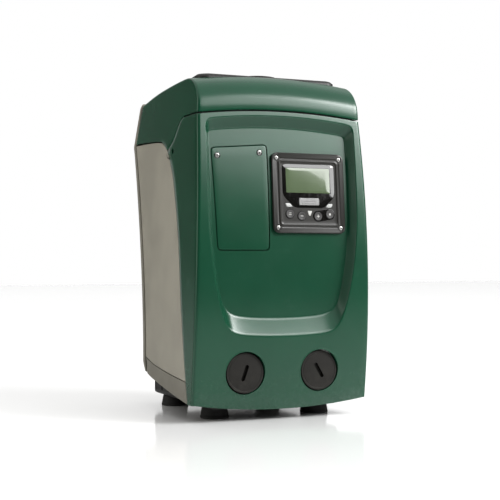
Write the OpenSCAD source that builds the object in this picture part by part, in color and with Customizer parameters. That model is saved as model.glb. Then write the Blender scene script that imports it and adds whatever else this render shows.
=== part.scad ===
/* [Body] */
// Width of the casing at its foot
body_w = 236; // [232:1:240]
// Depth from the front panel to the back plate
body_d = 263; // [260:1:266]
// Height of the lid's crown under the dark insert
lid_top_z = 426; // [424:1:428]
// How much higher the lid is at its middle than at its sides
lid_arch = 8.5; // [6:0.5:10]
// Wall of the moulded casing
wall = 3; // [2.5:0.5:3.5]
// Joint line between two casing parts
seam = 0.6; // [0.4:0.2:1]
// Radius of the bow of the front panel, seen from the side
bow_r = 1150; // [1000:50:1400]
// Height of the foremost point of that bow
bow_z = 190; // [180:5:200]

/* [Front panel] */
// Depth of the framed recess
recess_depth = 12.5; // [11:0.5:13.5]
// Middle of the display, across
display_x = 38; // [37:0.5:39]
// Middle of the display, up
display_z = 278; // [276:1:280]
// Side of the square display bezel
bezel_w = 100; // [98:1:101]
// Radius of a key
key_r = 5.5; // [5:0.1:5.6]
// How far a key goes in
key_travel = 0.8; // [0.5:0.1:1]

/* [Ports] */
// Distance of each port from the middle plane
port_x = 50; // [49:0.5:51]
// Height of the ports
port_z = 59; // [58:0.5:60]
// Minor radius of the G1 thread
thread_r = 15.15; // [15:0.05:15.2]
// Length of the threaded insert
insert_l = 20; // [18:1:22]
// Radius of the round holes in the front panel
port_hole_r = 26; // [25.5:0.5:26.5]
// Radius of a cap's disc
cap_r = 24.6; // [24:0.2:25]
// Bore for the mains lead in the gland
gland_bore_r = 4.5; // [4:0.25:5]

/* [Feet] */
// Distance of the feet from the middle plane
foot_x = 69; // [67:1:71]
// Front feet, front to back
foot_front_y = -71; // [-73:1:-69]
// Rear feet, front to back
foot_rear_y = 70; // [68:1:72]
// Radius of a foot where it stands
foot_r = 18; // [16:0.5:19]

/* [Pump and motor] */
// Axis of the pump and motor, across
pump_x = -44; // [-45:0.5:-43]
// Axis of the pump and motor, front to back
pump_y = 20; // [18:1:22]
// Radius of the shaft
shaft_r = 6; // [5.5:0.5:6]
// Radius of an impeller
impeller_r = 44; // [40:1:45]
// Outer radius of the motor shell
motor_r = 56; // [55:0.5:56]
// Radius of the expansion vessel
vessel_r = 42; // [40:0.5:42]

/* [Hidden] */
$fn = 72;

LEFT = -1;
RIGHT = 1;
CUT = 1;                                // overshoot of a cutting shape
FAR = 150;                              // beyond the casing in every direction
RUN = 0.05;                             // running clearance of a shaft or thread
half_w = body_w / 2;
front_y0 = -body_d / 2;                 // foremost point of the front panel
back_y = body_d / 2;                    // face of the back plate
foot_edge_z = 22;                       // lower edge of the front panel at its sides
smile = 9;                              // how far that edge hangs lower at the middle
seam_z = 371.5;                         // seam under the lid at the sides
seam_y = -60;                           // where the seam turns down behind the front
side_z = lid_top_z - lid_arch;          // lid's edge at the sides
lid_r = 32;                             // rounding from the front up to the lid
lid_bow_r = 950;                        // bow of the lid, seen from the side
brow_y = front_y(seam_z) + lid_r;       // where that rounding meets the lid
rear_widest_z = 349.5;                  // height at which the sides reach furthest back
rear_top = [[121.5, rear_widest_z], [104, 394], [100, 402], [93, 408]];

// Bow of the front panel and sweep of the rear edge, both seen from the side
function front_y(z) = front_y0 + pow(z - bow_z, 2) / (2 * bow_r);
function rear_y(z) = 62 + 59.5 * pow(max(z - 60, 0) / (rear_widest_z - 60), 1.85);
function lid_z(y) = lid_top_z - pow(max(y - brow_y, 0), 2) / (2 * lid_bow_r);
function bottom_z(x) = foot_edge_z - smile * (1 - pow(x / half_w, 2));
function arch_z(x, side, rise) = side + rise * (1 - pow(x / half_w, 2));
function arc(cx, cy, r, a0, a1, n) =
    [for (i = [0:n]) [cx + r * cos(a0 + (a1 - a0) * i / n), cy + r * sin(a0 + (a1 - a0) * i / n)]];

// Prisms: along_x takes an outline in (Y, Z), along_y one in (X, Z)
module along_x(x0, x1) {
    translate([x0, 0, 0]) rotate([90, 0, 90]) linear_extrude(height = x1 - x0) children();
}
module along_y(y0, y1) {
    translate([0, y1, 0]) rotate([90, 0, 0]) linear_extrude(height = y1 - y0) children();
}
module rod_y(x, z, r, y0, y1) {
    translate([x, y1, z]) rotate([90, 0, 0]) cylinder(r = r, h = y1 - y0);
}
module tube_z(r_out, r_in, z0, z1) {
    translate([0, 0, z0]) difference() {
        cylinder(r = r_out, h = z1 - z0);
        translate([0, 0, -CUT]) cylinder(r = r_in, h = z1 - z0 + 2 * CUT);
    }
}
module rounded_square(w, h, r) {
    offset(r = r) square([w - 2 * r, h - 2 * r], center = true);
}
module mirrored(side) {
    mirror([side == LEFT ? 0 : 1, 0, 0]) children();
}

// ---------------------------------------------------------------- casing outlines

module side_outline(drop) {
    polygon(concat(
        [for (z = [10 - drop:30:370]) [front_y(z), z]],
        arc(brow_y, lid_top_z - lid_r, lid_r, 180, 90, 8),
        [for (y = [brow_y + 20:20:90]) [y, lid_z(y)]],
        [for (i = [3:-1:0]) rear_top[i]],
        [for (z = [330:-30:60]) [rear_y(z), z]],
        [[rear_y(0) - drop / 20, 52 - drop], [43.5, 46.5 - drop], [-100, foot_edge_z - drop]]));
}

module front_outline(drop) {
    polygon(concat(
        [for (x = [-half_w:half_w / 6:half_w]) [x, bottom_z(x) - drop]],
        [[half_w, 100], [half_w - 2.5, 200], [half_w - 5, 300], [half_w - 8, 372]],
        [for (x = [half_w - 11:-(half_w - 11) / 6:-half_w + 10]) [x, arch_z(x, side_z - 1.5, lid_arch + 1.5)]],
        [[-half_w + 8, 372], [-half_w + 5, 300], [-half_w + 2.5, 200], [-half_w, 100]]));
}

module plan_outline() {
    corner_r = 9;
    polygon(concat(
        arc(-half_w + corner_r, front_y0 + corner_r, corner_r, 180, 270, 6),
        arc(half_w - corner_r, front_y0 + corner_r, corner_r, 270, 360, 6),
        [[half_w, FAR], [-half_w, FAR]]));
}

module envelope(inset, drop) {
    intersection() {
        along_x(-FAR, FAR) offset(delta = -inset) side_outline(drop);
        along_y(-FAR, FAR + 20) offset(delta = -inset) front_outline(drop);
        translate([0, 0, -drop]) linear_extrude(height = 460 + drop) offset(delta = -inset) plan_outline();
    }
}

// The inside of the casing, open at the bottom
module hollow() {
    envelope(wall, 60);
}

// ---------------------------------------------------------------- zones of the casing, from the side

panel_front = [[-98.5, 49], [-88.5, 96.5], [-78.5, 152], [-66.5, 222], [-46.5, 286],
    [-31.5, 315], [-24, 326]];
panel_top = [[-15.5, 334.4], [-3, 343], [12.5, 347.5], [104, 352.5]];
seam_front = [[-61, 368], [-47.9, 355.6], [-38.3, 346], [-24.5, 337.5]];
rear_seam_w = 10;

function rear_seam() = [for (z = [320:-30:80]) [rear_y(z) - rear_seam_w, z]];

module panel_zone() {
    polygon(concat(panel_front, panel_top, [[111.5, 349.5]], rear_seam(),
        [[51, 67.6], [16.7, 60]]));
}
module skirt_zone() {
    polygon([[-98.5, 49], [16.7, 60], [51, 67.6], [45.5, 64], [43.8, 40], [-60, 0], [-104, 0]]);
}
module lid_zone() {
    polygon(concat([[-FAR, seam_z], [-73, seam_z + 0.5]], seam_front, panel_top,
        [[111.5, 350.5], [105.5, 359], [94.5, 396], [87.5, 403], [86, 460], [-FAR, 460]]));
}
module rear_zone() {
    polygon(concat([[86, 460], [87.5, 403], [94.5, 396], [105.5, 359], [112, 350]], rear_seam(),
        [[51, 67.6], [45.5, 64], [43.8, 40], [FAR, 40], [FAR, 460]]));
}
module front_zone() {
    polygon(concat([[-FAR, seam_z], [-73, seam_z + 0.5]], seam_front, [[-15.5, 334.4], [-24, 326]],
        [for (i = [len(panel_front) - 2:-1:0]) panel_front[i]], [[-104, 0], [-FAR, 0]]));
}

// The strip between the straight side seam and its arched front run
module seam_arch(grow) {
    along_y(-FAR, seam_y) polygon(concat([[-FAR, seam_z - 20], [-FAR, seam_z - 1]],
        [for (x = [-120:20:120]) [x, arch_z(x, seam_z, lid_arch) + grow]],
        [[FAR, seam_z - 1], [FAR, seam_z - 20]]));
}

module zone_wall() {
    intersection() {
        difference() {
            envelope(0, 0);
            hollow();
        }
        along_x(-FAR, FAR) offset(delta = -seam / 2) children();
    }
}

// ---------------------------------------------------------------- front panel outlines

recess_half = [[101, 350], [101, 267], [97.4, 195], [91.8, 162], [86, 137], [79, 117]];
hatch_left = [-90, -84];
hatch_right = -16;
hatch_bottom = 207.6;
hatch_top = [331, 337];
hatch_gap = 0.8;
hatch_thick = 3;
hatch_pivot_r = hatch_thick / 2;
hatch_screw_at = [[-82, 322], [-26, 327]];
floor_wall = 3;

module recess_outline() {
    polygon(concat(
        arc(92, 357, 9, 75, 0, 4), recess_half, arc(54, 126, 25, -20, -85, 5),
        arc(-54, 126, 25, 265, 200, 5),
        [for (i = [5:-1:0]) [-recess_half[i][0], recess_half[i][1]]], arc(-92, 357, 9, 180, 105, 4),
        [for (x = [-80:20:80]) [x, arch_z(x, 361, 10)]]));
}

module hatch_outline() {
    offset(r = 3) offset(delta = -3) polygon([[hatch_left[1], hatch_bottom], [hatch_right, hatch_bottom],
        [hatch_right, hatch_top[1]], [hatch_left[0], hatch_top[0]]]);
}

// A band that follows the bow of the front, from near to far behind its surface
module bowed_band(near, far) {
    along_x(-FAR, FAR) polygon(concat(
        [for (z = [80:16:400]) [front_y(z) + near, z]],
        [for (z = [400:-16:80]) [front_y(z) + far, z]]));
}

module on_display() {
    tilt = atan((display_z - bow_z) / bow_r);
    translate([display_x, front_y(display_z) + recess_depth, display_z]) rotate([90 - tilt, 0, 0]) children();
}

module hatch_pivot_at() {
    translate([0, front_y(hatch_bottom) + recess_depth + hatch_pivot_r, hatch_bottom + hatch_pivot_r]) children();
}

module rod_x(r, x0, x1) {
    translate([x0, 0, 0]) rotate([0, 90, 0]) cylinder(r = r, h = x1 - x0);
}

// ---------------------------------------------------------------- casing parts

module port_collar(side, y1, r_out, r_in, y0) {
    difference() {
        rod_y(side * port_x, port_z, r_out, y0, y1);
        rod_y(side * port_x, port_z, r_in, y0 - CUT, y1 + CUT);
    }
}

module front_shell() color("darkgreen") difference() {
    union() {
        difference() {
            union() {
                zone_wall() front_zone();
                intersection() {
                    difference() {
                        envelope(0, 0);
                        hollow();
                    }
                    seam_arch(-seam / 2);
                    along_x(-FAR, FAR) polygon([[-FAR, seam_z - 2], [seam_y - seam, seam_z - 2],
                        [seam_y - seam, 400], [-FAR, 400]]);
                }
                intersection() {
                    envelope(0, 0);
                    along_y(-FAR, 0) offset(delta = wall) recess_outline();
                    bowed_band(0, recess_depth + floor_wall);
                }
            }
            intersection() {
                along_y(-FAR, 0) recess_outline();
                bowed_band(-20, recess_depth);
            }
        }
        intersection() {
            along_y(-FAR, 0) offset(delta = 2) hatch_outline();
            bowed_band(recess_depth + hatch_thick, recess_depth + hatch_thick + 3);
        }
        for (side = [LEFT, RIGHT])
            port_collar(side, -111, port_hole_r + 2.5, port_hole_r, front_y(port_z) + 2.5);
    }
    for (side = [LEFT, RIGHT])
        rod_y(side * port_x, port_z, port_hole_r, -FAR, -105);
    intersection() {
        along_y(-FAR, 0) offset(delta = hatch_gap) hatch_outline();
        bowed_band(0, recess_depth + hatch_thick + 0.2);
    }
    along_y(-FAR, -90) offset(delta = -7) hatch_outline();
    translate([hatch_left[1] - 2, -FAR, hatch_bottom - hatch_gap])
        cube([hatch_right - hatch_left[1] + 2 + hatch_gap, 60, 14]);
    hatch_pivot_at() rod_x(1, hatch_left[1] - 4, hatch_right + 4);
    for (p = hatch_screw_at)
        rod_y(p[0], p[1], 2.2, -FAR, -90);
    on_display() translate([0, 0, -30]) linear_extrude(height = 60) square(88, center = true);
    for (side = [LEFT, RIGHT])
        translate([side * half_w, -37, 331.8]) rotate([0, 90, 0]) cylinder(r = 3.6, h = 20, center = true);
}

module top_cover() color("darkgreen") difference() {
    difference() {
        zone_wall() lid_zone();
        seam_arch(seam / 2);
    }
    translate([0, filler_y, 380]) cylinder(r = filler_hole_r, h = 80);
}

insert_rise = 4;
insert_y = [-85, 83];
filler_y = -45;
filler_hole_r = 27;

module insert_outline() {
    translate([0, (insert_y[0] + insert_y[1]) / 2]) rounded_square(190, insert_y[1] - insert_y[0], 14);
}

module top_insert() color("dimgray") difference() {
    intersection() {
        translate([0, 0, insert_rise]) envelope(0, 0);
        translate([0, 0, 395]) linear_extrude(height = 50) insert_outline();
    }
    translate([0, 0, RUN]) envelope(0, 0);
    translate([0, 0, 390]) linear_extrude(height = 15) square(2 * FAR, center = true);
    translate([0, filler_y, 380]) cylinder(r = filler_hole_r, h = 80);
}

module side_panel(side) color("silver") intersection() {
    zone_wall() panel_zone();
    translate([side == LEFT ? -FAR : 20, -FAR, 0]) cube([FAR - 20, 2 * FAR, 400]);
}

module skirt(side) color("gray") intersection() {
    zone_wall() skirt_zone();
    translate([side == LEFT ? -FAR : 20, -FAR, 0]) cube([FAR - 20, 2 * FAR, 400]);
}

spine_w = 184;
spine_z = [98, 352];
bracket_w = 120;
bracket_h = 180;
bracket_z = 222;
bracket_hole_r = 3;
pipe_gap_x = 103.5;                     // half width of the gap for the pipes, under the back plate

module spine(inset) {
    along_y(60 - inset * 20, back_y - inset) translate([0, (spine_z[0] + spine_z[1]) / 2])
        offset(delta = -inset) rounded_square(spine_w, spine_z[1] - spine_z[0], 12);
}

module bracket_corners() {
    for (x = [-bracket_w / 2, bracket_w / 2], z = [bracket_z - bracket_h / 2, bracket_z + bracket_h / 2])
        translate([x, 0, z]) children();
}

module rear_cover() color("gray") {
    difference() {
        union() {
            difference() {
                intersection() {
                    union() {
                        envelope(0, 0);
                        spine(0);
                    }
                    along_x(-FAR, FAR) offset(delta = -seam / 2) rear_zone();
                }
                hollow();
                spine(wall);
                translate([-pipe_gap_x, 40, 30]) cube([2 * pipe_gap_x, 37, 72]);
            }
            bracket_corners() rod_y(0, 0, 7, back_y - 20, back_y - wall);
        }
        bracket_corners() rod_y(0, 0, bracket_hole_r, back_y - 18, back_y + CUT);
    }
}

chassis_half_w = 92;
chassis_y = [-102, 98];
chassis_z = [14, 50];
chassis_wall = 3;

module chassis_outline(shrink) {
    translate([0, (chassis_y[0] + chassis_y[1]) / 2])
        offset(delta = -shrink) rounded_square(2 * chassis_half_w, chassis_y[1] - chassis_y[0], 14);
}

// The tray's bulk: upright sides over edges that round in under the floor
module chassis_block(inset) intersection() {
    translate([0, 0, chassis_z[0] + inset])
        linear_extrude(height = chassis_z[1] - chassis_z[0] - inset + (inset > 0 ? CUT : 0)) chassis_outline(inset);
    rotate([90, 0, 0]) linear_extrude(height = 300, center = true)
        translate([0, chassis_z[0] + inset + 50]) rounded_square(2 * (chassis_half_w - inset + 1), 100, 12);
}

module feet_at() {
    for (x = [-foot_x, foot_x], y = [foot_front_y, foot_rear_y])
        translate([x, y, 0]) children();
}

module base_chassis() color("black") difference() {
    union() {
        difference() {
            chassis_block(0);
            chassis_block(chassis_wall);
        }
        feet_at() translate([0, 0, chassis_z[0]]) cylinder(r = 8, h = 12);
        translate([-16, chassis_y[1] - chassis_wall, 40]) cube([32, chassis_wall, 36]);
    }
    feet_at() translate([0, 0, chassis_z[0] - CUT]) cylinder(r = 3, h = 20);
    for (side = [LEFT, RIGHT])
        rod_y(side * port_x, port_z, 24, -FAR, FAR);
    rod_y(0, port_z, 8.1, 60, FAR);
    for (side = [LEFT, RIGHT], y = [-72:26:84])
        translate([side * chassis_half_w - 5, y - 2, chassis_z[0] + 8]) cube([10, 4, 22]);
}

module foot() color("black") difference() {
    cylinder(r1 = foot_r, r2 = foot_r - 2.5, h = chassis_z[0]);
    translate([0, 0, -CUT]) cylinder(r = 7, h = 7 + CUT);
    cylinder(r = 3.1, h = 40);
}

module foot_screws() color("silver") feet_at() {
    translate([0, 0, 3]) cylinder(r = 6, h = 4);
    translate([0, 0, 7]) cylinder(r = 2.95, h = 24);
}

module shell_screws() color("silver") {
    for (side = [LEFT, RIGHT])
        translate([side * (half_w - 9.6), -37, 331.8]) rotate([0, side * 90, 0]) {
            cylinder(r = 3.4, h = 2.4);
            translate([0, 0, -12]) cylinder(r = 1.6, h = 12);
        }
}

// ---------------------------------------------------------------- service hatch

module hatch_door() color("darkgreen") difference() {
    union() {
        intersection() {
            along_y(-FAR, 0) hatch_outline();
            bowed_band(recess_depth, recess_depth + hatch_thick);
            translate([-FAR, -FAR, hatch_bottom + hatch_pivot_r]) cube(2 * FAR);
        }
        hatch_pivot_at() rod_x(hatch_pivot_r, hatch_left[1] + 0.6, hatch_right - 0.6);
        hatch_pivot_at() rod_x(0.8, hatch_left[1] - 3, hatch_right + 3);
    }
    for (p = hatch_screw_at)
        rod_y(p[0], p[1], 1.6, -FAR, -90);
}

module hatch_screws() color("silver") for (p = hatch_screw_at) {
    face_y = front_y(p[1]) + recess_depth;
    rod_y(p[0], p[1], 2.8, face_y - 1.6, face_y - 0.5);
    rod_y(p[0], p[1], 1.5, face_y - 0.5, face_y + 8);
}

tray_back_y = -80;

module hatch_tray() color("black") difference() {
    along_y(front_y0, tray_back_y) offset(delta = -5) hatch_outline();
    along_y(-FAR, tray_back_y - 2) offset(delta = -7) hatch_outline();
    bowed_band(-20, recess_depth + hatch_thick + 3 + RUN);
    for (p = hatch_screw_at)
        rod_y(p[0], p[1], 3, -FAR, -90);
}

module service_key() color("gray") along_y(tray_back_y - 6, tray_back_y - 2 - RUN) difference() {
    union() {
        translate([-53, 270]) square([12, 84], center = true);
        translate([-53, 304]) circle(r = 13);
        translate([-53, 232]) circle(r = 9);
    }
    translate([-53, 304]) circle(r = 7, $fn = 6);
    translate([-53, 230]) square([4, 11], center = true);
}

// ---------------------------------------------------------------- display, in its own tilted frame

bezel_z = [1, 4.5];
window_z = [1.6, 3.9];
screw_at = 43.2;
key_at = [[-27.1, -26], [-11, -28.4], [11.6, -28.5], [27.9, -26]];

module window_outline() {
    offset(r = 3) offset(delta = -3) polygon(concat([[-35.6, 36], [-35.6, -1]],
        arc(-22, -1, 13.6, 195, 270, 4), [[-20, -18], [20, -18]],
        arc(22.4, -1, 13.6, 270, 345, 4), [[36, -1], [36, 36]]));
}

module led_outline(side) {
    polygon([[side * 24, -17.5], [side * 31, -17.5], [side * 33, -12.6], [side * 29, -12.6]]);
}

module display_bezel() color("dimgray") on_display() difference() {
    union() {
        translate([0, 0, bezel_z[0]]) linear_extrude(height = bezel_z[1] - bezel_z[0])
            rounded_square(bezel_w, bezel_w, 8);
        translate([0, 0, -11]) linear_extrude(height = 12) difference() {
            rounded_square(86, 86, 4);
            rounded_square(82, 82, 2);
        }
    }
    translate([0, 0, -CUT]) linear_extrude(height = 10) offset(delta = 0.1) window_outline();
    translate([0, 0, -CUT]) linear_extrude(height = 10) for (side = [LEFT, RIGHT])
        offset(delta = 0.1) led_outline(side);
    for (p = key_at)
        translate([p[0], p[1], -CUT]) cylinder(r = key_r + 0.4, h = 10);
    for (x = [-screw_at, screw_at], y = [-screw_at, screw_at])
        translate([x, y, -20]) cylinder(r = 1.6, h = 40);
}

module display_window() color("black") on_display() difference() {
    translate([0, 0, window_z[0]]) linear_extrude(height = window_z[1] - window_z[0]) window_outline();
    translate([0, 0, window_z[1] - 0.5]) linear_extrude(height = 2) badge_outline();
}

module badge_outline() {
    translate([0, -10.6]) rounded_square(28, 9.2, 2);
}

module badge_plate() color("silver") on_display() translate([0, 0, window_z[1] - 0.45])
    linear_extrude(height = 0.8) offset(delta = -0.05) badge_outline();

module lcd_panel() color("yellowgreen") on_display() translate([-33, -0.5, -3])
    cube([64, 33, 4.4]);

module display_board() color("green") on_display() difference() {
    translate([0, 0, -7]) cube([80, 80, 1.6], center = true);
    for (x = [-36, 36], y = [-36, 36])
        translate([x, y, -10]) cylinder(r = 1.6, h = 6);
}

module led_lenses() color("white") on_display() translate([0, 0, -2]) linear_extrude(height = 5.8) {
    led_outline(LEFT);
    led_outline(RIGHT);
}

module display_screws() color("silver") on_display()
    for (x = [-screw_at, screw_at], y = [-screw_at, screw_at]) translate([x, y, 0]) {
        translate([0, 0, bezel_z[1] + RUN]) cylinder(r = 2.8, h = 1);
        translate([0, 0, 0.2]) cylinder(r = 1.5, h = bezel_z[1] - 0.15);
    }

module key(i) color("black") on_display() translate([key_at[i][0], key_at[i][1], 0]) {
    translate([0, 0, 0.6]) cylinder(r = key_r, h = 4.6);
    translate([0, 0, -1.6]) cylinder(r = key_r + 1.2, h = 1.8);
    translate([0, 0, 0.2]) cylinder(r = key_r, h = 0.4);
}

// ---------------------------------------------------------------- ports and caps

insert_r = 20;
hydraulic_y = [-106, 118];
cap_face_y = front_y(port_z) + 1.4;
cap_disc = 7;
collar_y = hydraulic_y[0] - 2.6;
slot_turn = [-19.5, 30.6];

module cap_body(slot_angle) difference() {
    union() {
        translate([0, 0, -cap_disc]) cylinder(r = cap_r, h = cap_disc);
        translate([0, 0, -(collar_y - cap_face_y)]) cylinder(r = insert_r, h = collar_y - cap_face_y - cap_disc);
        translate([0, 0, -(hydraulic_y[0] - cap_face_y) - 12])
            cylinder(r = thread_r - RUN, h = 12 + hydraulic_y[0] - collar_y);
    }
    rotate([0, 0, slot_angle]) translate([0, 0, 1 - 2]) cube([4.5, 20, 6], center = true);
    translate([0, 0, -60]) cylinder(r = 10, h = 60 - cap_disc);
}

module port_cap(side) color("dimgray") translate([side * port_x, cap_face_y, port_z])
    rotate([90, 0, 0]) cap_body(side == LEFT ? slot_turn[0] : slot_turn[1]);

module port_seal(side) color("black") difference() {
    rod_y(side * port_x, port_z, 19, collar_y + RUN, hydraulic_y[0] - RUN);
    rod_y(side * port_x, port_z, thread_r + 0.4, -FAR, -90);
}

filler_top_z = lid_top_z + insert_rise;
neck_top_z = filler_top_z - (hydraulic_y[0] - cap_face_y);
filler_seal_z = filler_top_z - (collar_y - cap_face_y);

module filler_cap() color("dimgray") translate([0, filler_y, filler_top_z]) cap_body(90);

module filler_seal() color("black") translate([0, filler_y, 0])
    tube_z(19, thread_r + 0.4, neck_top_z + RUN, filler_seal_z - RUN);

module filler_neck() color("goldenrod") translate([0, filler_y, 0]) difference() {
    union() {
        translate([0, 0, 92]) cylinder(r = 14, h = neck_top_z - 92);
        translate([0, 0, neck_top_z - 30]) cylinder(r = 21, h = 30);
    }
    translate([0, 0, 90]) cylinder(r = 11, h = FAR * 3);
    translate([0, 0, neck_top_z - insert_l]) cylinder(r = thread_r, h = insert_l + CUT);
}

module hydraulic_body() color("dimgray") difference() {
    union() {
        for (side = [LEFT, RIGHT]) {
            rod_y(side * port_x, port_z, 23, hydraulic_y[0], hydraulic_y[1]);
            for (y = damper_y)
                translate([side * port_x - 11, y - 11, damper_top_z]) cube([22, 22, 14]);
        }
        translate([-40, -62, 44]) cube([80, 50, 30]);
        translate([-20, -20, 44]) cube([70, 60, 30]);
        translate([pump_x, pump_y, 53]) cylinder(r = 58, h = 33);
        translate([0, filler_y, 50]) cylinder(r = 18, h = 42);
        translate([vessel_at[0], vessel_at[1], 50]) cylinder(r = 18, h = 45);
    }
    for (side = [LEFT, RIGHT]) {
        rod_y(side * port_x, port_z, 13, -FAR, FAR);
        for (end = [[hydraulic_y[0] - CUT, hydraulic_y[0] + insert_l], [hydraulic_y[1] - insert_l, hydraulic_y[1] + CUT]])
            rod_y(side * port_x, port_z, insert_r, end[0], end[1]);
    }
    translate([pump_x, pump_y, 74]) cylinder(r = 52, h = 20);
    translate([pump_x, pump_y, port_z]) cylinder(r = valve_r + RUN, h = 20);
    translate([0, filler_y, 58]) cylinder(r = 11, h = 60);
    translate([vessel_at[0], vessel_at[1], 58]) cylinder(r = 9, h = 60);
}

damper_y = [-76, 84];
damper_top_z = 34;
vessel_at = [58, 34];

module port_inserts() color("goldenrod") for (side = [LEFT, RIGHT])
    for (y0 = [hydraulic_y[0], hydraulic_y[1] - insert_l]) difference() {
        rod_y(side * port_x, port_z, insert_r - RUN, y0 + RUN, y0 + insert_l - RUN);
        rod_y(side * port_x, port_z, thread_r, y0 - CUT, y0 + insert_l + CUT);
    }

module mount_dampers() color("black") for (side = [LEFT, RIGHT], y = damper_y)
    translate([side * port_x, y, chassis_z[0] + chassis_wall + RUN])
        cylinder(r = 9.5, h = damper_top_z - chassis_z[0] - chassis_wall - 2 * RUN);

// ---------------------------------------------------------------- pump stages

stage_z0 = 90;
stage_h = 24;
barrel_z = [86, 172];
shaft_z = [88, 320.5];

module on_pump_axis() translate([pump_x, pump_y, 0]) children();

module pump_barrel() color("silver") on_pump_axis() {
    tube_z(55, 52, barrel_z[0] + RUN, barrel_z[1] - 4);
    tube_z(55, 15, barrel_z[1] - 4, barrel_z[1]);
}

module diffusers() color("dimgray") on_pump_axis() for (i = [0:2]) translate([0, 0, stage_z0 + i * stage_h]) {
    tube_z(51.8, 48, 0, stage_h - 1);
    tube_z(48, 16, stage_h - 3, stage_h - 1);
    for (a = [0:60:300])
        rotate([0, 0, a]) translate([20, -1, stage_h - 7]) cube([28.2, 2, 4.5]);
}

module impeller(i) color("wheat") on_pump_axis() translate([0, 0, stage_z0 + (i - 1) * stage_h + 3]) {
    tube_z(impeller_r, shaft_r, 0, 1.8);
    tube_z(impeller_r, 15, 9.2, 11);
    tube_z(9, shaft_r, 1.8, 13);
    for (a = [0:60:300])
        rotate([0, 0, a]) translate([16, 0, 1]) rotate([0, 0, 35]) cube([27, 1.8, 9]);
}

module pump_shaft() color("silver") on_pump_axis() translate([0, 0, shaft_z[0]])
    cylinder(r = shaft_r, h = shaft_z[1] - shaft_z[0]);

// ---------------------------------------------------------------- motor

motor_z = [barrel_z[1], 322];
stator_z = [200, 290];
air_gap = 0.6;
rotor_r = 29.4;
bearing_r = 16;

module rotor_core() color("gray") on_pump_axis() tube_z(rotor_r, shaft_r, stator_z[0] + 2, stator_z[1] - 2);

module stator_core() color("gray") on_pump_axis() difference() {
    tube_z(51.9, rotor_r + air_gap, stator_z[0], stator_z[1]);
    for (a = [0:30:330])
        rotate([0, 0, a]) translate([rotor_r + air_gap + 2, -3, stator_z[0] - CUT]) cube([12, 6, 100]);
}

module stator_windings() color("orange") on_pump_axis() {
    for (z = [stator_z[0] - 7.1, stator_z[1] + 7.1])
        rotate_extrude() translate([38, z]) offset(r = 2) square([7, 10], center = true);
    for (a = [0:30:330])
        rotate([0, 0, a]) translate([rotor_r + air_gap + 2.3, -2.7, stator_z[0] - 0.05])
            cube([11.4, 5.4, stator_z[1] - stator_z[0] + 0.1]);
}

module motor_shell() color("silver") on_pump_axis() difference() {
    union() {
        tube_z(motor_r, 52, motor_z[0] + RUN, motor_z[1]);
        tube_z(53, shaft_r + 2, motor_z[0] + RUN, motor_z[0] + 4);
        tube_z(19, bearing_r, motor_z[0] + 4, motor_z[0] + 14);
    }
    for (z = [190:12:310]) translate([0, 0, z]) difference() {
        cylinder(r = motor_r + 2, h = 5);
        translate([0, 0, -CUT]) cylinder(r = motor_r - 1.5, h = 7);
    }
}

module motor_cover() color("dimgray") on_pump_axis() {
    translate([0, 0, motor_z[1] + RUN]) cylinder(r = motor_r, h = 5);
    tube_z(19, bearing_r, motor_z[1] - 13, motor_z[1] + RUN);
    for (a = [0:45:315])
        rotate([0, 0, a]) translate([14, -1.5, motor_z[1] + 5]) cube([38, 3, 4]);
}

module bearings() color("silver") on_pump_axis()
    for (z = [motor_z[0] + 4.1, motor_z[1] - 12])
        tube_z(bearing_r - 0.02, shaft_r + RUN, z, z + 9);

module shaft_seal() color("black") on_pump_axis() tube_z(14.9, shaft_r + RUN, barrel_z[1] - 6, barrel_z[1]);

// ---------------------------------------------------------------- valve, flow meter, vessel

valve_z = [64, 86];
valve_r = 14;
seat_h = 3;
poppet_z = valve_z[0] + seat_h + RUN;
poppet_h = 2.4;

module check_valve_body() color("goldenrod") on_pump_axis() {
    tube_z(valve_r, 11.5, valve_z[0], valve_z[1]);
    tube_z(11.6, 7.5, valve_z[0], valve_z[0] + seat_h);
    for (a = [0, 90])
        rotate([0, 0, a]) translate([-11.6, -1, valve_z[1] - 1.5]) cube([23.2, 2, 1.5]);
}

module check_valve_poppet() color("black") on_pump_axis() translate([0, 0, poppet_z]) {
    cylinder(r = 10, h = poppet_h);
    cylinder(r = 2, h = 10);
}

spring_coils = 3;
spring_r = 6;
wire_r = 0.6;
wire_rings = 54;
wire_sides = 8;
spring_z = [poppet_z + poppet_h + wire_r + RUN, valve_z[1] - 1.5 - wire_r - RUN];

// One coil spring as a single swept tube: rings of points along a helix about the pump axis
module check_valve_spring() color("silver") on_pump_axis() {
    points = [for (i = [0:wire_rings - 1], j = [0:wire_sides - 1])
        let (t = i / (wire_rings - 1), turn = 360 * spring_coils * t, a = 360 * j / wire_sides,
            r = spring_r + wire_r * cos(a))
        [r * cos(turn), r * sin(turn), spring_z[0] + t * (spring_z[1] - spring_z[0]) + wire_r * sin(a)]];
    last = (wire_rings - 1) * wire_sides;
    polyhedron(points, concat(
        [[for (j = [0:wire_sides - 1]) j]],
        [[for (j = [wire_sides - 1:-1:0]) last + j]],
        [for (i = [0:wire_rings - 2], j = [0:wire_sides - 1])
            let (a = i * wire_sides, k = (j + 1) % wire_sides)
            [a + j, a + wire_sides + j, a + wire_sides + k, a + k]]));
}

turbine_y = 10;

module flow_turbine() color("white") {
    rod_y(port_x, port_z, 3, turbine_y - 8, turbine_y + 8);
    for (a = [0:60:300])
        translate([port_x, turbine_y, port_z]) rotate([0, a, 0]) translate([2.6, -6, -0.8]) cube([9, 12, 1.6]);
}

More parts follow.
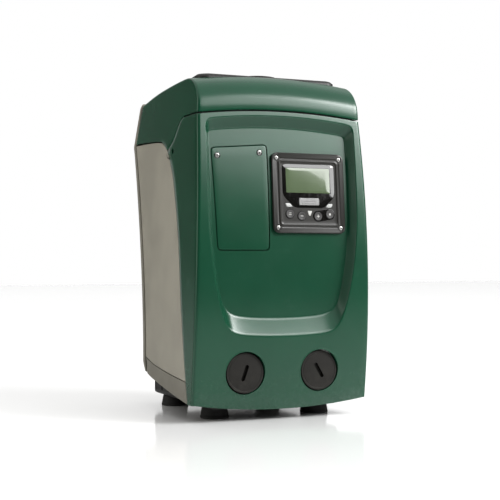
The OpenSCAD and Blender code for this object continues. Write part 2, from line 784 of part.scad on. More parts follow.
module expansion_vessel() color("steelblue") translate([vessel_at[0], vessel_at[1], 0]) {
    shell = 2;
    dome = 26;
    z0 = 104;
    z1 = 332;
    rotate_extrude() difference() {
        polygon(concat([[0, z0]], arc(vessel_r - dome, z0 + dome, dome, 270, 360, 10),
            arc(vessel_r - dome, z1 - dome, dome, 0, 90, 10), [[0, z1]]));
        polygon(concat([[0, z0 + shell]], arc(vessel_r - dome, z0 + dome, dome - shell, 270, 360, 10),
            arc(vessel_r - dome, z1 - dome, dome - shell, 0, 90, 10), [[0, z1 - shell]]));
    }
    tube_z(12, 8, 95 + RUN, z0);
    translate([0, 0, z1]) cylinder(r = 5, h = 14);
}

// ---------------------------------------------------------------- electronics

module inverter_unit() color("green") {
    translate([16, -72, 110]) cube([86, 1.6, 225]);
    translate([22, -70.4, 120]) cube([74, 4, 200]);
    for (x = [26:8:92])
        translate([x, -66.4, 120]) cube([2, 9, 200]);
    for (p = [[32, 130], [60, 130], [88, 130], [32, 162], [60, 162], [88, 162]])
        rod_y(p[0], p[1], 12, -100, -72);
}

module cable_gland() color("black") difference() {
    union() {
        rod_y(0, port_z, 8, 86, 116);
        rod_y(0, port_z, 11, 98 + RUN, 104);
        translate([0, 116, port_z]) rotate([90, 0, 0]) cylinder(r = 11.5, h = 10, $fn = 6);
        translate([0, 94.8, port_z]) rotate([90, 0, 0]) cylinder(r = 12, h = 5, $fn = 6);
    }
    rod_y(0, port_z, gland_bore_r, 80, FAR);
}

// ---------------------------------------------------------------- drawing

front_shell();
top_cover();
top_insert();
side_panel(LEFT);  // side_panel_left
side_panel(RIGHT);  // side_panel_right
skirt(LEFT);  // skirt_left
skirt(RIGHT);  // skirt_right
rear_cover();
base_chassis();
translate([-foot_x, foot_front_y, 0]) foot();  // foot_front_left
translate([foot_x, foot_front_y, 0]) foot();  // foot_front_right
translate([-foot_x, foot_rear_y, 0]) foot();  // foot_rear_left
translate([foot_x, foot_rear_y, 0]) foot();  // foot_rear_right
foot_screws();
shell_screws();
hatch_door();
hatch_screws();
hatch_tray();
service_key();
display_bezel();
display_window();
lcd_panel();
display_board();
display_screws();
badge_plate();
led_lenses();
key(0);  // key_mode
key(1);  // key_minus
key(2);  // key_plus
key(3);  // key_set
port_cap(LEFT);  // port_cap_left
port_cap(RIGHT);  // port_cap_right
port_seal(LEFT);  // port_seal_left
port_seal(RIGHT);  // port_seal_right
filler_cap();
filler_seal();
filler_neck();
hydraulic_body();
port_inserts();
mount_dampers();
pump_barrel();
diffusers();
impeller(1);  // impeller_1
impeller(2);  // impeller_2
impeller(3);  // impeller_3
pump_shaft();
rotor_core();
stator_core();
stator_windings();
motor_shell();
motor_cover();
bearings();
shaft_seal();
check_valve_body();
check_valve_poppet();
check_valve_spring();
flow_turbine();
expansion_vessel();
inverter_unit();
cable_gland();
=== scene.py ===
"""Looks of the water booster unit: moulded casing, hatch, display, caps, feet and what shows behind them.

Lengths in this script are millimetres until a mesh is made; X is to the right, Y to the back, Z up.
"""

import bmesh
import bpy
import numpy as np
from mathutils import Matrix, Vector


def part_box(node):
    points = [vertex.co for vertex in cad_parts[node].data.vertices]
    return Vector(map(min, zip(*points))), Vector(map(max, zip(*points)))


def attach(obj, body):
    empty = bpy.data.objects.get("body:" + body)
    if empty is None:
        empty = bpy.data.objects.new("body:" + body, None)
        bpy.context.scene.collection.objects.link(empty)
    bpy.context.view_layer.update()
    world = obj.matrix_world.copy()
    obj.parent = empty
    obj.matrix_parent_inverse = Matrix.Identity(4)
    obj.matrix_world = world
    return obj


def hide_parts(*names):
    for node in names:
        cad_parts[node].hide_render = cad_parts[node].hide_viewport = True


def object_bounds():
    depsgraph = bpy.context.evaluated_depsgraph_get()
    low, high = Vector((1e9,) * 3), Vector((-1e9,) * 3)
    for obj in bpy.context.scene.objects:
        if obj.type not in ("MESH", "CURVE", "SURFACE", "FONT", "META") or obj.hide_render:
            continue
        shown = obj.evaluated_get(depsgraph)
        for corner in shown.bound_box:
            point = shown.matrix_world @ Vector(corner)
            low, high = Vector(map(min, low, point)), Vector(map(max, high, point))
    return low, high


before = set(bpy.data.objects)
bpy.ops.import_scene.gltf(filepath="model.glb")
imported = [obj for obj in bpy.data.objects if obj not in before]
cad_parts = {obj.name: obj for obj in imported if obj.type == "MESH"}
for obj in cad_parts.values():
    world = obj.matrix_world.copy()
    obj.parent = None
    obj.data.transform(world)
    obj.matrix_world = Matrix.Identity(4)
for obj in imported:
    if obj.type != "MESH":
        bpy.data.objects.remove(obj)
cad_low, cad_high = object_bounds()

MM = 0.001


def corners(node):
    """Lowest and highest corner of a CAD node, in millimetres."""
    low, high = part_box(node)
    return np.array(low) / MM, np.array(high) / MM


# ---------------------------------------------------------------- driving sizes

HALF_W = cad_high.x / MM
FRONT, BACK = cad_low.y / MM, cad_high.y / MM
TOP = cad_high.z / MM
BOW_R, BOW_Z = 1150.0, 190.0
TAPER, TAPER_Z = 8.0, 372.0
SEAM_Z = 371.5
SEAM_GAP = 0.8
ARCH = 8.5
FOOT_EDGE, SMILE = 22.0, 9.0
CORNER_R = 4.0
SKIN = 2.6
RECESS = 12.5
WIDEST_Z = 349.5
REAR_FOOT_Y, REAR_SWEEP, REAR_FLAT_Z = 62.0, 59.5, 60.0
REAR_STRIP = 11.0
PANEL_GAP = 2.2
PANEL_SUNK = 0.7
CUT_Y = -60.0


def front_y(z):
    """Bow of the front: a parabola of radius BOW_R about the height BOW_Z."""
    return FRONT + (z - BOW_Z) ** 2 / (2 * BOW_R)


def rear_y(z):
    """Sweep of the sides' rear edge: flat at the foot, then a power curve up to the widest height."""
    return REAR_FOOT_Y + REAR_SWEEP * (np.clip(z - REAR_FLAT_Z, 0, None) / (WIDEST_Z - REAR_FLAT_Z)) ** 1.85


def half_width(z):
    """Half width of the casing: HALF_W at the foot, drawing in by TAPER at the seam."""
    return HALF_W - TAPER * (np.clip(z, 0, None) / TAPER_Z) ** 2.2


def arch(x, rise=ARCH):
    """Rise of the lid, seam and recess towards the middle plane: a parabola across the width."""
    return rise * (1 - (x / HALF_W) ** 2)


# ---------------------------------------------------------------- numpy surfaces

def xyz(x, y, z):
    """Points from three coordinates whose shapes broadcast together."""
    return np.stack(np.broadcast_arrays(x, y, z), -1)


def spline(points, count):
    """Catmull-Rom curve through a few points, count samples evenly spaced along its length."""
    p = np.array(points, float)
    p = np.vstack([2 * p[0] - p[1], p, 2 * p[-1] - p[-2]])
    t = np.linspace(0, len(p) - 3 - 1e-9, 60 * len(p))
    i = t.astype(int)
    f = (t - i)[:, None]
    a, b, c, d = p[i], p[i + 1], p[i + 2], p[i + 3]
    dense = 0.5 * (2 * b + (c - a) * f + (2 * a - 5 * b + 4 * c - d) * f ** 2
                   + (3 * b - a - 3 * c + d) * f ** 3)
    return resample(dense, np.linspace(0, 1, count))


def resample(points, shares):
    """The points of an open line at the given shares of its length."""
    step = np.linalg.norm(np.diff(points, axis=0), axis=1)
    along = np.concatenate([[0], np.cumsum(step)]) / step.sum()
    return np.stack([np.interp(shares, along, points[:, k]) for k in range(points.shape[1])], axis=1)


def eased(count, ends=0.5):
    """count + 1 shares from 0 to 1, closer together towards both ends."""
    t = np.linspace(0, 1, count + 1)
    return (1 - ends) * t + ends * (1 - np.cos(np.pi * t)) / 2


def softened(loop, rounds):
    """A closed loop of points rounded by repeated averaging with its neighbours, rounds given per point."""
    out = loop.copy()
    for k in range(int(rounds.max())):
        mean = 0.5 * out + 0.25 * (np.roll(out, 1, 0) + np.roll(out, -1, 0))
        out = np.where((rounds > k)[:, None], mean, out)
    return out


def cornered(points, shares, rounds):
    """A closed loop of straight sides between points, sampled at the shares, its corners averaged."""
    p = np.array(points, float)
    loop = np.vstack([p[k] + (p[(k + 1) % len(p)] - p[k]) * shares[:, None] for k in range(len(p))])
    return softened(loop, np.full(len(loop), rounds))


def smooth_ramp(t, low=0.0, high=1.0):
    """0 below low, 1 above high, and the cubic 3s^2 - 2s^3 between."""
    s = np.clip((t - low) / (high - low), 0, 1)
    return s * s * (3 - 2 * s)


def eased_line(t, soft=0.16):
    """0 to 1 in a straight run with a short parabola at each end, soft wide."""
    t = np.clip(t, 0, 1)
    low = t * t / (2 * soft)
    high = 1 - soft - (1 - t) ** 2 / (2 * soft)
    return np.where(t < soft, low, np.where(t > 1 - soft, high, t - soft / 2)) / (1 - soft)


def coons(left, right, bottom, top):
    """Coons patch: rows along left and right, columns along bottom and top, the curves sharing corners."""
    n, m = len(left), len(bottom)
    v = np.linspace(0, 1, n)[:, None, None]
    u = np.linspace(0, 1, m)[None, :, None]
    sides = (1 - u) * left[:, None] + u * right[:, None]
    caps = (1 - v) * bottom[None] + v * top[None]
    blend = ((1 - v) * (1 - u) * bottom[0] + (1 - v) * u * bottom[-1]
             + v * (1 - u) * top[0] + v * u * top[-1])
    return sides + caps - blend


def grid_faces(rows, cols, start=0, ring=False):
    """Quads of a grid of rows x cols points; ring joins the last column to the first."""
    i = np.arange(rows - 1)[:, None]
    j = np.arange(cols if ring else cols - 1)[None, :]
    k = (j + 1) % cols
    here, ahead = i * cols, (i + 1) * cols
    quad = np.stack(np.broadcast_arrays(here + j, here + k, ahead + k, ahead + j), -1)
    return quad.reshape(-1, 4) + start


class Shape:
    """Patches of points gathered into one mesh."""

    def __init__(self):
        self.points, self.faces, self.count = [], [], 0

    def add(self, grid, ring=False, flip=False):
        """Adds a grid of points (rows, cols, 3), turned over if flip."""
        grid = np.asarray(grid, float)
        rows, cols = grid.shape[:2]
        faces = grid_faces(rows, cols, self.count, ring)
        self.faces.append(faces[:, ::-1] if flip else faces)
        self.points.append(grid.reshape(-1, 3))
        self.count += rows * cols
        return self

    def join(self, other):
        """Takes over all patches of another shape."""
        self.points += other.points
        self.faces += [faces + self.count for faces in other.faces]
        self.count += other.count
        return self

    def mesh(self, name, away_from=None, recalc=False, merge=0.02):
        """The mesh in metres, doubles merged. away_from: a point that the faces turn their backs on."""
        data = bpy.data.meshes.new(name)
        points = np.concatenate(self.points) * MM
        faces = np.concatenate(self.faces)
        data.vertices.add(len(points))
        data.vertices.foreach_set("co", points.ravel())
        data.loops.add(faces.size)
        data.loops.foreach_set("vertex_index", faces.ravel())
        data.polygons.add(len(faces))
        data.polygons.foreach_set("loop_start", np.arange(0, faces.size, 4))
        data.update(calc_edges=True)
        bm = bmesh.new()
        bm.from_mesh(data)
        bmesh.ops.remove_doubles(bm, verts=bm.verts, dist=merge * MM)
        bmesh.ops.dissolve_degenerate(bm, edges=bm.edges, dist=0.002 * MM)
        if recalc:
            bmesh.ops.recalc_face_normals(bm, faces=bm.faces)
        bm.to_mesh(data)
        bm.free()
        if away_from is not None and facing(data, away_from) < 0:
            data.flip_normals()
        data.validate()
        return data


def facing(data, point):
    """Sum over the faces of area times the cosine between the normal and the way from point."""
    n = len(data.polygons)
    normal, centre, area = np.zeros(n * 3), np.zeros(n * 3), np.zeros(n)
    data.polygons.foreach_get("normal", normal)
    data.polygons.foreach_get("center", centre)
    data.polygons.foreach_get("area", area)
    way = centre.reshape(-1, 3) - np.array(point) * MM
    return float((area * (normal.reshape(-1, 3) * way).sum(1)).sum())


def bake(piece):
    """Applies the piece's modifiers to its mesh."""
    depsgraph = bpy.context.evaluated_depsgraph_get()
    made = bpy.data.meshes.new_from_object(piece.evaluated_get(depsgraph))
    old = piece.data
    piece.modifiers.clear()
    piece.data = made
    bpy.data.meshes.remove(old)


def shaded(data, angle=32):
    """Smooth shading with edges sharper than angle kept sharp."""
    data.polygons.foreach_set("use_smooth", np.ones(len(data.polygons), bool))
    data.set_sharp_from_angle(angle=np.radians(angle))


def put(name, data, finish, body="root", stands_for=(), skin=0, bevel=0, cutters=()):
    """A piece in the scene: wall thickness inwards, softened edges, cut-outs, finish and its body."""
    piece = bpy.data.objects.new(name, data)
    bpy.context.scene.collection.objects.link(piece)
    if skin:
        wall = piece.modifiers.new("wall", "SOLIDIFY")
        wall.thickness, wall.offset, wall.use_even_offset = skin * MM, -1, False
    if bevel:
        edge = piece.modifiers.new("edge", "BEVEL")
        edge.width, edge.segments, edge.limit_method = bevel * MM, 2, "ANGLE"
        edge.angle_limit = np.radians(50)
    for tool in cutters:
        cut = piece.modifiers.new("cut", "BOOLEAN")
        cut.object, cut.operation, cut.solver = tool, "DIFFERENCE", "EXACT"
    if piece.modifiers:
        bake(piece)
    for tool in cutters:
        bpy.data.objects.remove(tool)
    shaded(piece.data)
    piece.data.materials.clear()
    piece.data.materials.append(finish)
    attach(piece, body)
    if stands_for:
        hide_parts(*stands_for)


def cutter(shape):
    """A closed cutting shape, not shown."""
    data = shape.mesh("cutter", recalc=True)
    tool = bpy.data.objects.new("cutter", data)
    bpy.context.scene.collection.objects.link(tool)
    return tool


def prism(loop, to_world, near, far):
    """Closed prism over a loop of (a, b) points, from depth near to far, its ends closed to the middle."""
    middle = loop.mean(0)
    rings = [(near, 0.0), (near, 1.0), (far, 1.0), (far, 0.0)]
    grid = np.stack([to_world(*(middle + (loop - middle) * s).T, np.full(len(loop), d)) for d, s in rings])
    return Shape().add(grid, ring=True)


def lathe(profile, to_world, turns=96):
    """Surface of revolution: profile of (radius, height) turned about the local third axis, then placed."""
    profile = np.array(profile, float)
    a = np.linspace(0, 2 * np.pi, turns, endpoint=False)[None, :]
    r, h = profile[:, :1], profile[:, 1:]
    return Shape().add(to_world(r * np.cos(a), r * np.sin(a), h + 0 * a), ring=True)


def rounded_profile(points, radius, steps=5):
    """An open (radius, height) outline with each inner corner replaced by a parabola about as wide."""
    p = np.array(points, float)
    out = [p[:1]]
    for k in range(1, len(p) - 1):
        a, b = p[k - 1] - p[k], p[k + 1] - p[k]
        la, lb = np.linalg.norm(a), np.linalg.norm(b)
        a, b = a / la, b / lb
        half = np.arccos(np.clip(a @ b, -1, 1)) / 2
        reach = min(radius / np.tan(half), 0.49 * la, 0.49 * lb)
        t = np.linspace(0, 1, steps)[:, None]
        out.append(p[k] + (1 - t) ** 2 * a * reach + t ** 2 * b * reach)
    return np.vstack(out + [p[-1:]])


def in_front(x0, z0, y0):
    """Placement with the local axes along X, up and out of the front, at (x0, y0, z0)."""
    return lambda u, v, w: xyz(x0 + u, y0 - w, z0 + v)


def upright(x0, y0, z0=0.0):
    """Placement with the local third axis upwards."""
    return lambda u, v, w: xyz(x0 + u, y0 + v, z0 + w)


def to_back(x0, z0, y0):
    """Placement with the local third axis towards the back."""
    return lambda u, v, w: xyz(x0 - u, y0 + w, z0 + v)


def rounded_loop(w, h, r, per_side=20):
    """Rounded rectangle w x h with corner radius r: quarter arcs joined by straight runs."""
    a = np.linspace(0, np.pi / 2, per_side)
    arc = np.stack([np.cos(a), np.sin(a)], 1) * r
    turn = np.array([[0, 1], [-1, 0]])
    parts = []
    for sx, sy in ((1, 1), (-1, 1), (-1, -1), (1, -1)):
        parts.append(arc + [sx * (w / 2 - r), sy * (h / 2 - r)])
        arc = arc @ turn
    return np.vstack(parts)


def offset_loop(loop, out):
    """A closed loop moved outwards along its own normals by out."""
    along = np.roll(loop, -1, 0) - np.roll(loop, 1, 0)
    along /= np.linalg.norm(along, axis=1)[:, None] + 1e-9
    area = (loop[:, 0] * np.roll(loop[:, 1], -1) - np.roll(loop[:, 0], -1) * loop[:, 1]).sum()
    return loop + np.sign(area) * out * np.stack([along[:, 1], -along[:, 0]], 1)


def pillow(loop, to_world, steps):
    """A closed block over a loop: steps of (inset, height), then rings shrunk to the middle."""
    middle = loop.mean(0)
    flat = np.full(len(loop), steps[0][1])
    rows = [to_world(*(middle + (loop - middle) * share).T, flat) for share in (0.0, 0.5)]
    for inset, height in steps:
        last = offset_loop(loop, -inset) if inset else loop
        rows.append(to_world(*last.T, np.full(len(loop), height)))
    for share in (0.8, 0.55, 0.3, 0.0):
        rows.append(to_world(*(middle + (last - middle) * share).T, np.full(len(loop), steps[-1][1])))
    return Shape().add(np.stack(rows), ring=True)


# ---------------------------------------------------------------- finishes

class Value:
    """A shader value. Arithmetic on it adds Math nodes."""

    def __init__(self, finish, socket):
        self.finish, self.socket = finish, socket

    def math(self, operation, a, b):
        return self.finish.node("ShaderNodeMath", {"operation": operation}, {0: a, 1: b})

    def __add__(self, other):
        return self.math("ADD", self, other)

    def __mul__(self, other):
        return self.math("MULTIPLY", self, other)

    __radd__, __rmul__ = __add__, __mul__


class Finish:
    """One material: a Principled shader with values set or linked on its sockets."""

    def __init__(self, name, **fixed):
        self.material = bpy.data.materials.new(name)
        self.material.use_nodes = True
        self.tree = self.material.node_tree
        self.shader = self.tree.nodes["Principled BSDF"]
        for socket, value in fixed.items():
            self.shader.inputs[socket.replace("_", " ")].default_value = value
        self.where = self.node("ShaderNodeTexCoord", out="Object")

    def node(self, kind, settings=None, inputs=None, out=0):
        """Adds a node: its settings first, then a value or link on each named socket. Returns one output."""
        made = self.tree.nodes.new(kind)
        for key, value in (settings or {}).items():
            setattr(made, key, value)
        for key, value in (inputs or {}).items():
            if isinstance(value, Value):
                self.tree.links.new(value.socket, made.inputs[key])
            else:
                made.inputs[key].default_value = value
        return Value(self, made.outputs[out])

    def noise(self, size_mm, detail=3.0, stretch=(1, 1, 1)):
        """Noise from 0 to 1 whose features are about size_mm across."""
        at = self.node("ShaderNodeMapping", None, {"Vector": self.where, "Scale": stretch})
        return self.node("ShaderNodeTexNoise", None, {
            "Vector": at, "Scale": 1 / (size_mm * MM), "Detail": detail, "Roughness": 0.55})

    def height(self):
        """Height above the floor, in metres."""
        return self.node("ShaderNodeSeparateXYZ", None, {0: self.where}, out="Z")

    def between(self, value, low, high, to_low=0.0, to_high=1.0):
        """value taken from low..high to to_low..to_high, held at the ends."""
        return self.node("ShaderNodeMapRange", {"clamp": True}, {
            "Value": value, "From Min": low, "From Max": high, "To Min": to_low, "To Max": to_high})

    def blend(self, share, a, b):
        """Colour a, going to b as share goes from 0 to 1."""
        return self.node("ShaderNodeMix", {"data_type": "RGBA"}, {0: share, 6: a, 7: b}, out=2)

    def link(self, socket, value):
        """Links a value to one of the shader's sockets."""
        self.tree.links.new(value.socket, self.shader.inputs[socket])

    def bump(self, value, strength, depth_mm):
        """Raises the surface by value times depth_mm."""
        normal = self.node("ShaderNodeBump", None, {
            "Height": value, "Strength": strength, "Distance": depth_mm * MM}, out="Normal")
        self.link("Normal", normal)


def shade(rgb, factor):
    """A colour with alpha, factor times as bright."""
    return tuple(min(1.0, c * factor) for c in rgb) + (1.0,)


DUST_RGB = (0.32, 0.30, 0.26, 1.0)


def moulded(name, rgb, rough, grain=0.45, depth=0.05, spread=0.08, dust=0.10, **fixed):
    """Moulded plastic: slow tone drift, fine spark-eroded grain, handled patches, dust near the floor."""
    f = Finish(name, **fixed)
    drift = f.noise(70, 2)
    tone = f.blend(f.between(drift, 0.35, 0.65), shade(rgb, 1 - spread), shade(rgb, 1 + spread))
    near_floor = f.between(f.height(), 0.0, 0.07, 1, 0)
    specks = f.between(f.noise(6, 5), 0.42, 0.75)
    f.link("Base Color", f.blend(near_floor * specks * dust, tone, DUST_RGB))
    handled = f.between(f.noise(48, 3), 0.3, 0.7, -0.015, 0.02)
    fine = f.noise(grain, 2)
    worn = f.between(fine, 0.3, 0.7, rough - 0.02, rough + 0.03)
    f.link("Roughness", handled + worn + near_floor * specks * 0.15)
    f.bump(fine * 0.7 + f.noise(grain * 3.3, 2) * 0.3, 0.5, depth)
    return f.material


def metal(name, rgb, rough, brush_mm=0.5, stretch=(1, 1, 1)):
    """Machined or rolled metal: brushed grain, light stains and rougher worn patches."""
    f = Finish(name, Metallic=1.0)
    stains = f.between(f.noise(9, 5), 0.4, 0.7)
    f.link("Base Color", f.blend(stains, shade(rgb, 1.0), shade(rgb, 0.76)))
    brush = f.noise(brush_mm, 3, stretch)
    f.link("Roughness", f.between(brush, 0.3, 0.7, rough - 0.06, rough + 0.08) + stains * 0.1)
    f.bump(brush, 0.35, 0.02)
    return f.material


def rubbery(name, rgb, rough=0.72):
    """Moulded rubber: matt, pore-like grain, chalky bloom in patches."""
    f = Finish(name, Sheen_Weight=0.15, Sheen_Roughness=0.4)
    bloom = f.between(f.noise(12, 5), 0.45, 0.75)
    f.link("Base Color", f.blend(bloom, shade(rgb, 1.0), shade(rgb, 2.2)))
    f.link("Roughness", bloom * 0.1 + rough)
    f.bump(f.noise(0.8, 3), 0.6, 0.08)
    return f.material


def glossy(name, rgb, rough=0.06, coat=0.6, **fixed):
    """Polished plastic or glass over a dark print: faint wipe marks in the gloss."""
    f = Finish(name, Coat_Weight=coat, Coat_Roughness=0.03, **fixed)
    wiped = f.between(f.noise(7, 4, (1, 1, 0.25)), 0.45, 0.8)
    f.link("Base Color", f.blend(wiped, shade(rgb, 1.0), shade(rgb, 1.25)))
    f.link("Roughness", wiped * 0.08 + rough)
    f.bump(f.noise(3, 2), 0.06, 0.02)
    return f.material


def liquid_crystal(name, rgb):
    """Display glass: a grey-green ground that drifts a little in tone, with a faint grid of dots."""
    f = Finish(name, Roughness=0.08, Coat_Weight=1.0, Coat_Roughness=0.02, IOR=1.75)
    spread = f.noise(30, 2)
    ground = f.blend(f.between(spread, 0.3, 0.7), shade(rgb, 0.95), shade(rgb, 1.06))
    dots = f.node("ShaderNodeTexVoronoi", {"distance": "CHEBYCHEV"}, {
        "Vector": f.where, "Scale": 1 / (0.5 * MM), "Randomness": 0.0})
    cell = f.between(dots, 0.40, 0.48)
    f.link("Base Color", f.blend(cell * 0.25, ground, shade(rgb, 0.8)))
    f.bump(spread, 0.05, 0.02)
    return f.material


GREEN = moulded("green_casing", (0.006, 0.058, 0.030), 0.235, grain=0.5, depth=0.03, spread=0.05, dust=0.02,
                IOR=1.5)
GREY_PANEL = moulded("light_grey_panel", (0.300, 0.285, 0.240), 0.42, grain=0.6, depth=0.05)
GREY_COVER = moulded("mid_grey_cover", (0.200, 0.190, 0.160), 0.46, grain=0.6, depth=0.05)
INSERT = moulded("dark_lid_insert", (0.014, 0.014, 0.013), 0.48, grain=0.9, depth=0.09)
CAP = moulded("charcoal_cap", (0.014, 0.013, 0.011), 0.5, grain=0.6, depth=0.06, IOR=1.35)
BEZEL = moulded("bezel_plastic", (0.019, 0.0185, 0.0165), 0.34, grain=0.35, depth=0.035, dust=0.0, IOR=1.42)
BLACK = moulded("black_plastic", (0.014, 0.014, 0.014), 0.55, grain=0.7, depth=0.07)
GREY_TOOL = moulded("tool_plastic", (0.21, 0.21, 0.20), 0.42)
NATURAL = moulded("natural_plastic", (0.55, 0.50, 0.40), 0.4, dust=0.0)
RUBBER = rubbery("foot_rubber", (0.010, 0.010, 0.010))
KEY_RUBBER = rubbery("key_rubber", (0.028, 0.027, 0.027), 0.5)
STEEL = metal("screw_steel", (0.36, 0.36, 0.35), 0.32)
SHEET_STEEL = metal("stainless_sheet", (0.56, 0.56, 0.55), 0.32, stretch=(1, 1, 0.08))
CORE_STEEL = metal("laminated_core", (0.34, 0.34, 0.35), 0.45, 0.5, (0.04, 0.04, 1))
BRASS = metal("turned_brass", (0.70, 0.50, 0.22), 0.3, 0.4, (1, 0.1, 1))
COPPER = metal("enamelled_copper", (0.68, 0.27, 0.10), 0.3, 0.8, (1, 1, 0.2))
CAST = metal("cast_aluminium", (0.52, 0.53, 0.53), 0.5, 1.2)
LEGEND = moulded("key_legend", (0.50, 0.50, 0.48), 0.4, dust=0.0)
BADGE = metal("badge_metal", (0.22, 0.22, 0.22), 0.36, 0.3, (0.1, 1, 1))
GLOSS_BLACK = glossy("window_black", (0.004, 0.004, 0.004), IOR=1.75)
LENS = glossy("status_lens", (0.42, 0.43, 0.42), 0.25, coat=0.5)
LCD = liquid_crystal("liquid_crystal", (0.100, 0.138, 0.078))
BOARD = glossy("solder_mask", (0.01, 0.09, 0.03), 0.3, coat=0.3)
VESSEL = glossy("vessel_paint", (0.02, 0.06, 0.22), 0.22, coat=0.5)

# ---------------------------------------------------------------- casing lines, in (Y, Z) seen from the side

PANEL_FRONT = [(-104.5, 22), (-98.5, 49), (-88.5, 96.5), (-78.5, 152), (-66.5, 222), (-46.5, 286),
               (-31.5, 315)]
PANEL_SHOULDER = [(-15.5, 334.4), (-3, 342.6), (12.5, 347.3), (60, 350.3), (111.5, 352.5)]
SEAM_DIP = [(-15.5, 334.4), (-24.5, 337.5), (-38.3, 346), (-47.9, 355.6), (-61, 367.4), (-73, 371.5)]
LID_EDGE = [(-117.3, 372), (-117.1, 380), (-114.8, 391), (-108.4, 402.5), (-97.5, 411.5), (-83, 416.6),
            (-62, 417.6), (-11.5, 415.2), (37.5, 411), (88, 403.6)]
REAR_LINE_TOP = [(112, 350.5), (105.5, 359), (94.8, 396), (88.2, 403.4)]
REAR_EDGE_TOP = [(120.9, 346), (121.5, 351), (117.5, 361), (104.6, 393), (100.5, 402), (93, 406.6)]
dense_front = spline(PANEL_FRONT + PANEL_SHOULDER[:1], 400)
dense_dip = spline(SEAM_DIP, 200)


def shell_back_y(z):
    """Where the green shell ends on the side at height z: along the panel's front edge, then the seam."""
    low = np.interp(z, dense_front[:, 1], dense_front[:, 0])
    high = np.interp(z, dense_dip[:, 1], dense_dip[:, 0])
    return np.where(z < PANEL_SHOULDER[0][1], low, high)


def outward(edge):
    """Unit normals of an open (y, z) line, on its left-hand side."""
    along = np.gradient(edge, axis=0)
    along /= np.linalg.norm(along, axis=1)[:, None]
    return np.stack([-along[:, 1], along[:, 0]], 1)


def side_strip(edge, normal, seam, radius, side, across=10, round_steps=9):
    """The side wall and its rounded corner: from the seam in a straight run, then a quarter circle.

    edge is the silhouette of the front or back wall, normal its outward normal, seam the wall's far border.
    """
    radius = np.broadcast_to(radius, len(edge))[:, None]
    centre = edge - normal * radius
    u = np.linspace(0, 1, across)[None, :, None]
    flat = seam[:, None] + (centre - seam)[:, None] * u
    flat_x = half_width(flat[..., 1])
    phi = np.linspace(0, np.pi / 2, round_steps)[None, 1:]
    turn = centre[:, None] + (normal * radius)[:, None] * np.sin(phi)[..., None]
    x0 = half_width(centre[:, 1])[:, None]
    turn_x = x0 - radius + radius * np.cos(phi)
    yz = np.concatenate([flat, turn], axis=1)
    x = np.concatenate([flat_x, turn_x], axis=1)
    return np.concatenate([side * x[..., None], yz], axis=-1)


# ---------------------------------------------------------------- front shell

ROWS, COLS = 84, 60
RECESS_HALF_W, RECESS_DRAW, RECESS_STRAIGHT_Z = 101.0, 22.0, 267.0


def recess_side(z):
    """Half width of the recess: straight at the top, drawn in by a power curve lower down."""
    return RECESS_HALF_W - RECESS_DRAW * (np.clip(RECESS_STRAIGHT_Z - z, 0, None) / 150) ** 2.47


def recess_loop(inset, top, bottom, rounds_top, rounds_bottom, sag):
    """Closed outline of the recess in (x, z): bowed sides, arched top, sagging bottom, rounded corners."""
    z = bottom + sag + (top - bottom - sag) * eased(ROWS)
    side = recess_side(z) - inset
    t = 2 * eased(COLS) - 1
    top_x, low_x = t * side[-1], t * side[0]
    left = np.stack([-side, z], 1)[:-1]
    upper = np.stack([top_x, top + arch(top_x, 10) - arch(side[-1], 10)], 1)[:-1]
    right = np.stack([side, z], 1)[::-1][:-1]
    lower = np.stack([low_x, bottom + sag * (low_x / side[0]) ** 2], 1)[::-1][:-1]
    loop = np.vstack([left, upper, right, lower])
    rounds = np.where(loop[:, 1] > (top + bottom) / 2, rounds_top, rounds_bottom)
    return softened(loop, rounds)


def loop_sides(loop):
    """Left (going up), right (going up), bottom and top (going right) of a loop laid out by recess_loop."""
    closed = np.vstack([loop, loop[:1]])
    left = closed[:ROWS + 1]
    top = closed[ROWS:ROWS + COLS + 1]
    right = closed[ROWS + COLS:2 * ROWS + COLS + 1][::-1]
    bottom = closed[2 * ROWS + COLS:][::-1]
    return left, right, bottom, top


def on_front(xz, depth):
    """Points (x, z) laid on the bowed front, depth behind it."""
    xz = np.asarray(xz)
    return np.stack([xz[..., 0], front_y(xz[..., 1]) + depth, xz[..., 1]], -1)


def front_skin():
    """The shell's outside: side strips, a ring of quads round the recess, its lofted wall and its floor."""
    z = FOOT_EDGE + (SEAM_Z - SEAM_GAP - FOOT_EDGE) * eased(ROWS, 0.35)
    edge = np.stack([front_y(z), z], 1)
    normal = np.tile([-1.0, 0.0], (len(z), 1))
    seam = np.stack([shell_back_y(z) - SEAM_GAP, z], 1)
    x = half_width(z) - CORNER_R
    t = 2 * eased(COLS, 0.3) - 1
    left = np.stack([-x, z], 1)
    right = np.stack([x, z], 1)
    top_x, low_x = t * x[-1], t * x[0]
    top = np.stack([top_x, z[-1] + arch(top_x) - arch(x[-1])], 1)
    bottom = np.stack([low_x, z[0] - SMILE * (1 - (low_x / x[0]) ** 2)], 1)
    frame_loop = np.vstack([left[:-1], top[:-1], right[::-1][:-1], bottom[::-1][:-1]])
    rim = recess_loop(inset=0, top=366, bottom=101, rounds_top=24, rounds_bottom=110, sag=4)
    floor = recess_loop(inset=8.5, top=351.5, bottom=125.5, rounds_top=12, rounds_bottom=130, sag=5)
    shape = Shape()
    for side in (-1, 1):
        shape.add(side_strip(edge, normal, seam, CORNER_R, side), flip=side > 0)
    share = np.array([0, 0.2, 0.4, 0.6, 0.78, 0.9, 0.97, 1])[:, None, None]
    shape.add(on_front((1 - share) * frame_loop + share * rim, 0), ring=True)
    t = eased(22, 0.6)[:, None, None]
    depth = RECESS * eased_line(t[..., 0])
    shape.add(on_front((1 - t) * rim + t * floor, depth), ring=True)
    sides = loop_sides(floor)
    shape.add(on_front(coons(*sides), RECESS))
    return shape.mesh("front_shell", recalc=True)


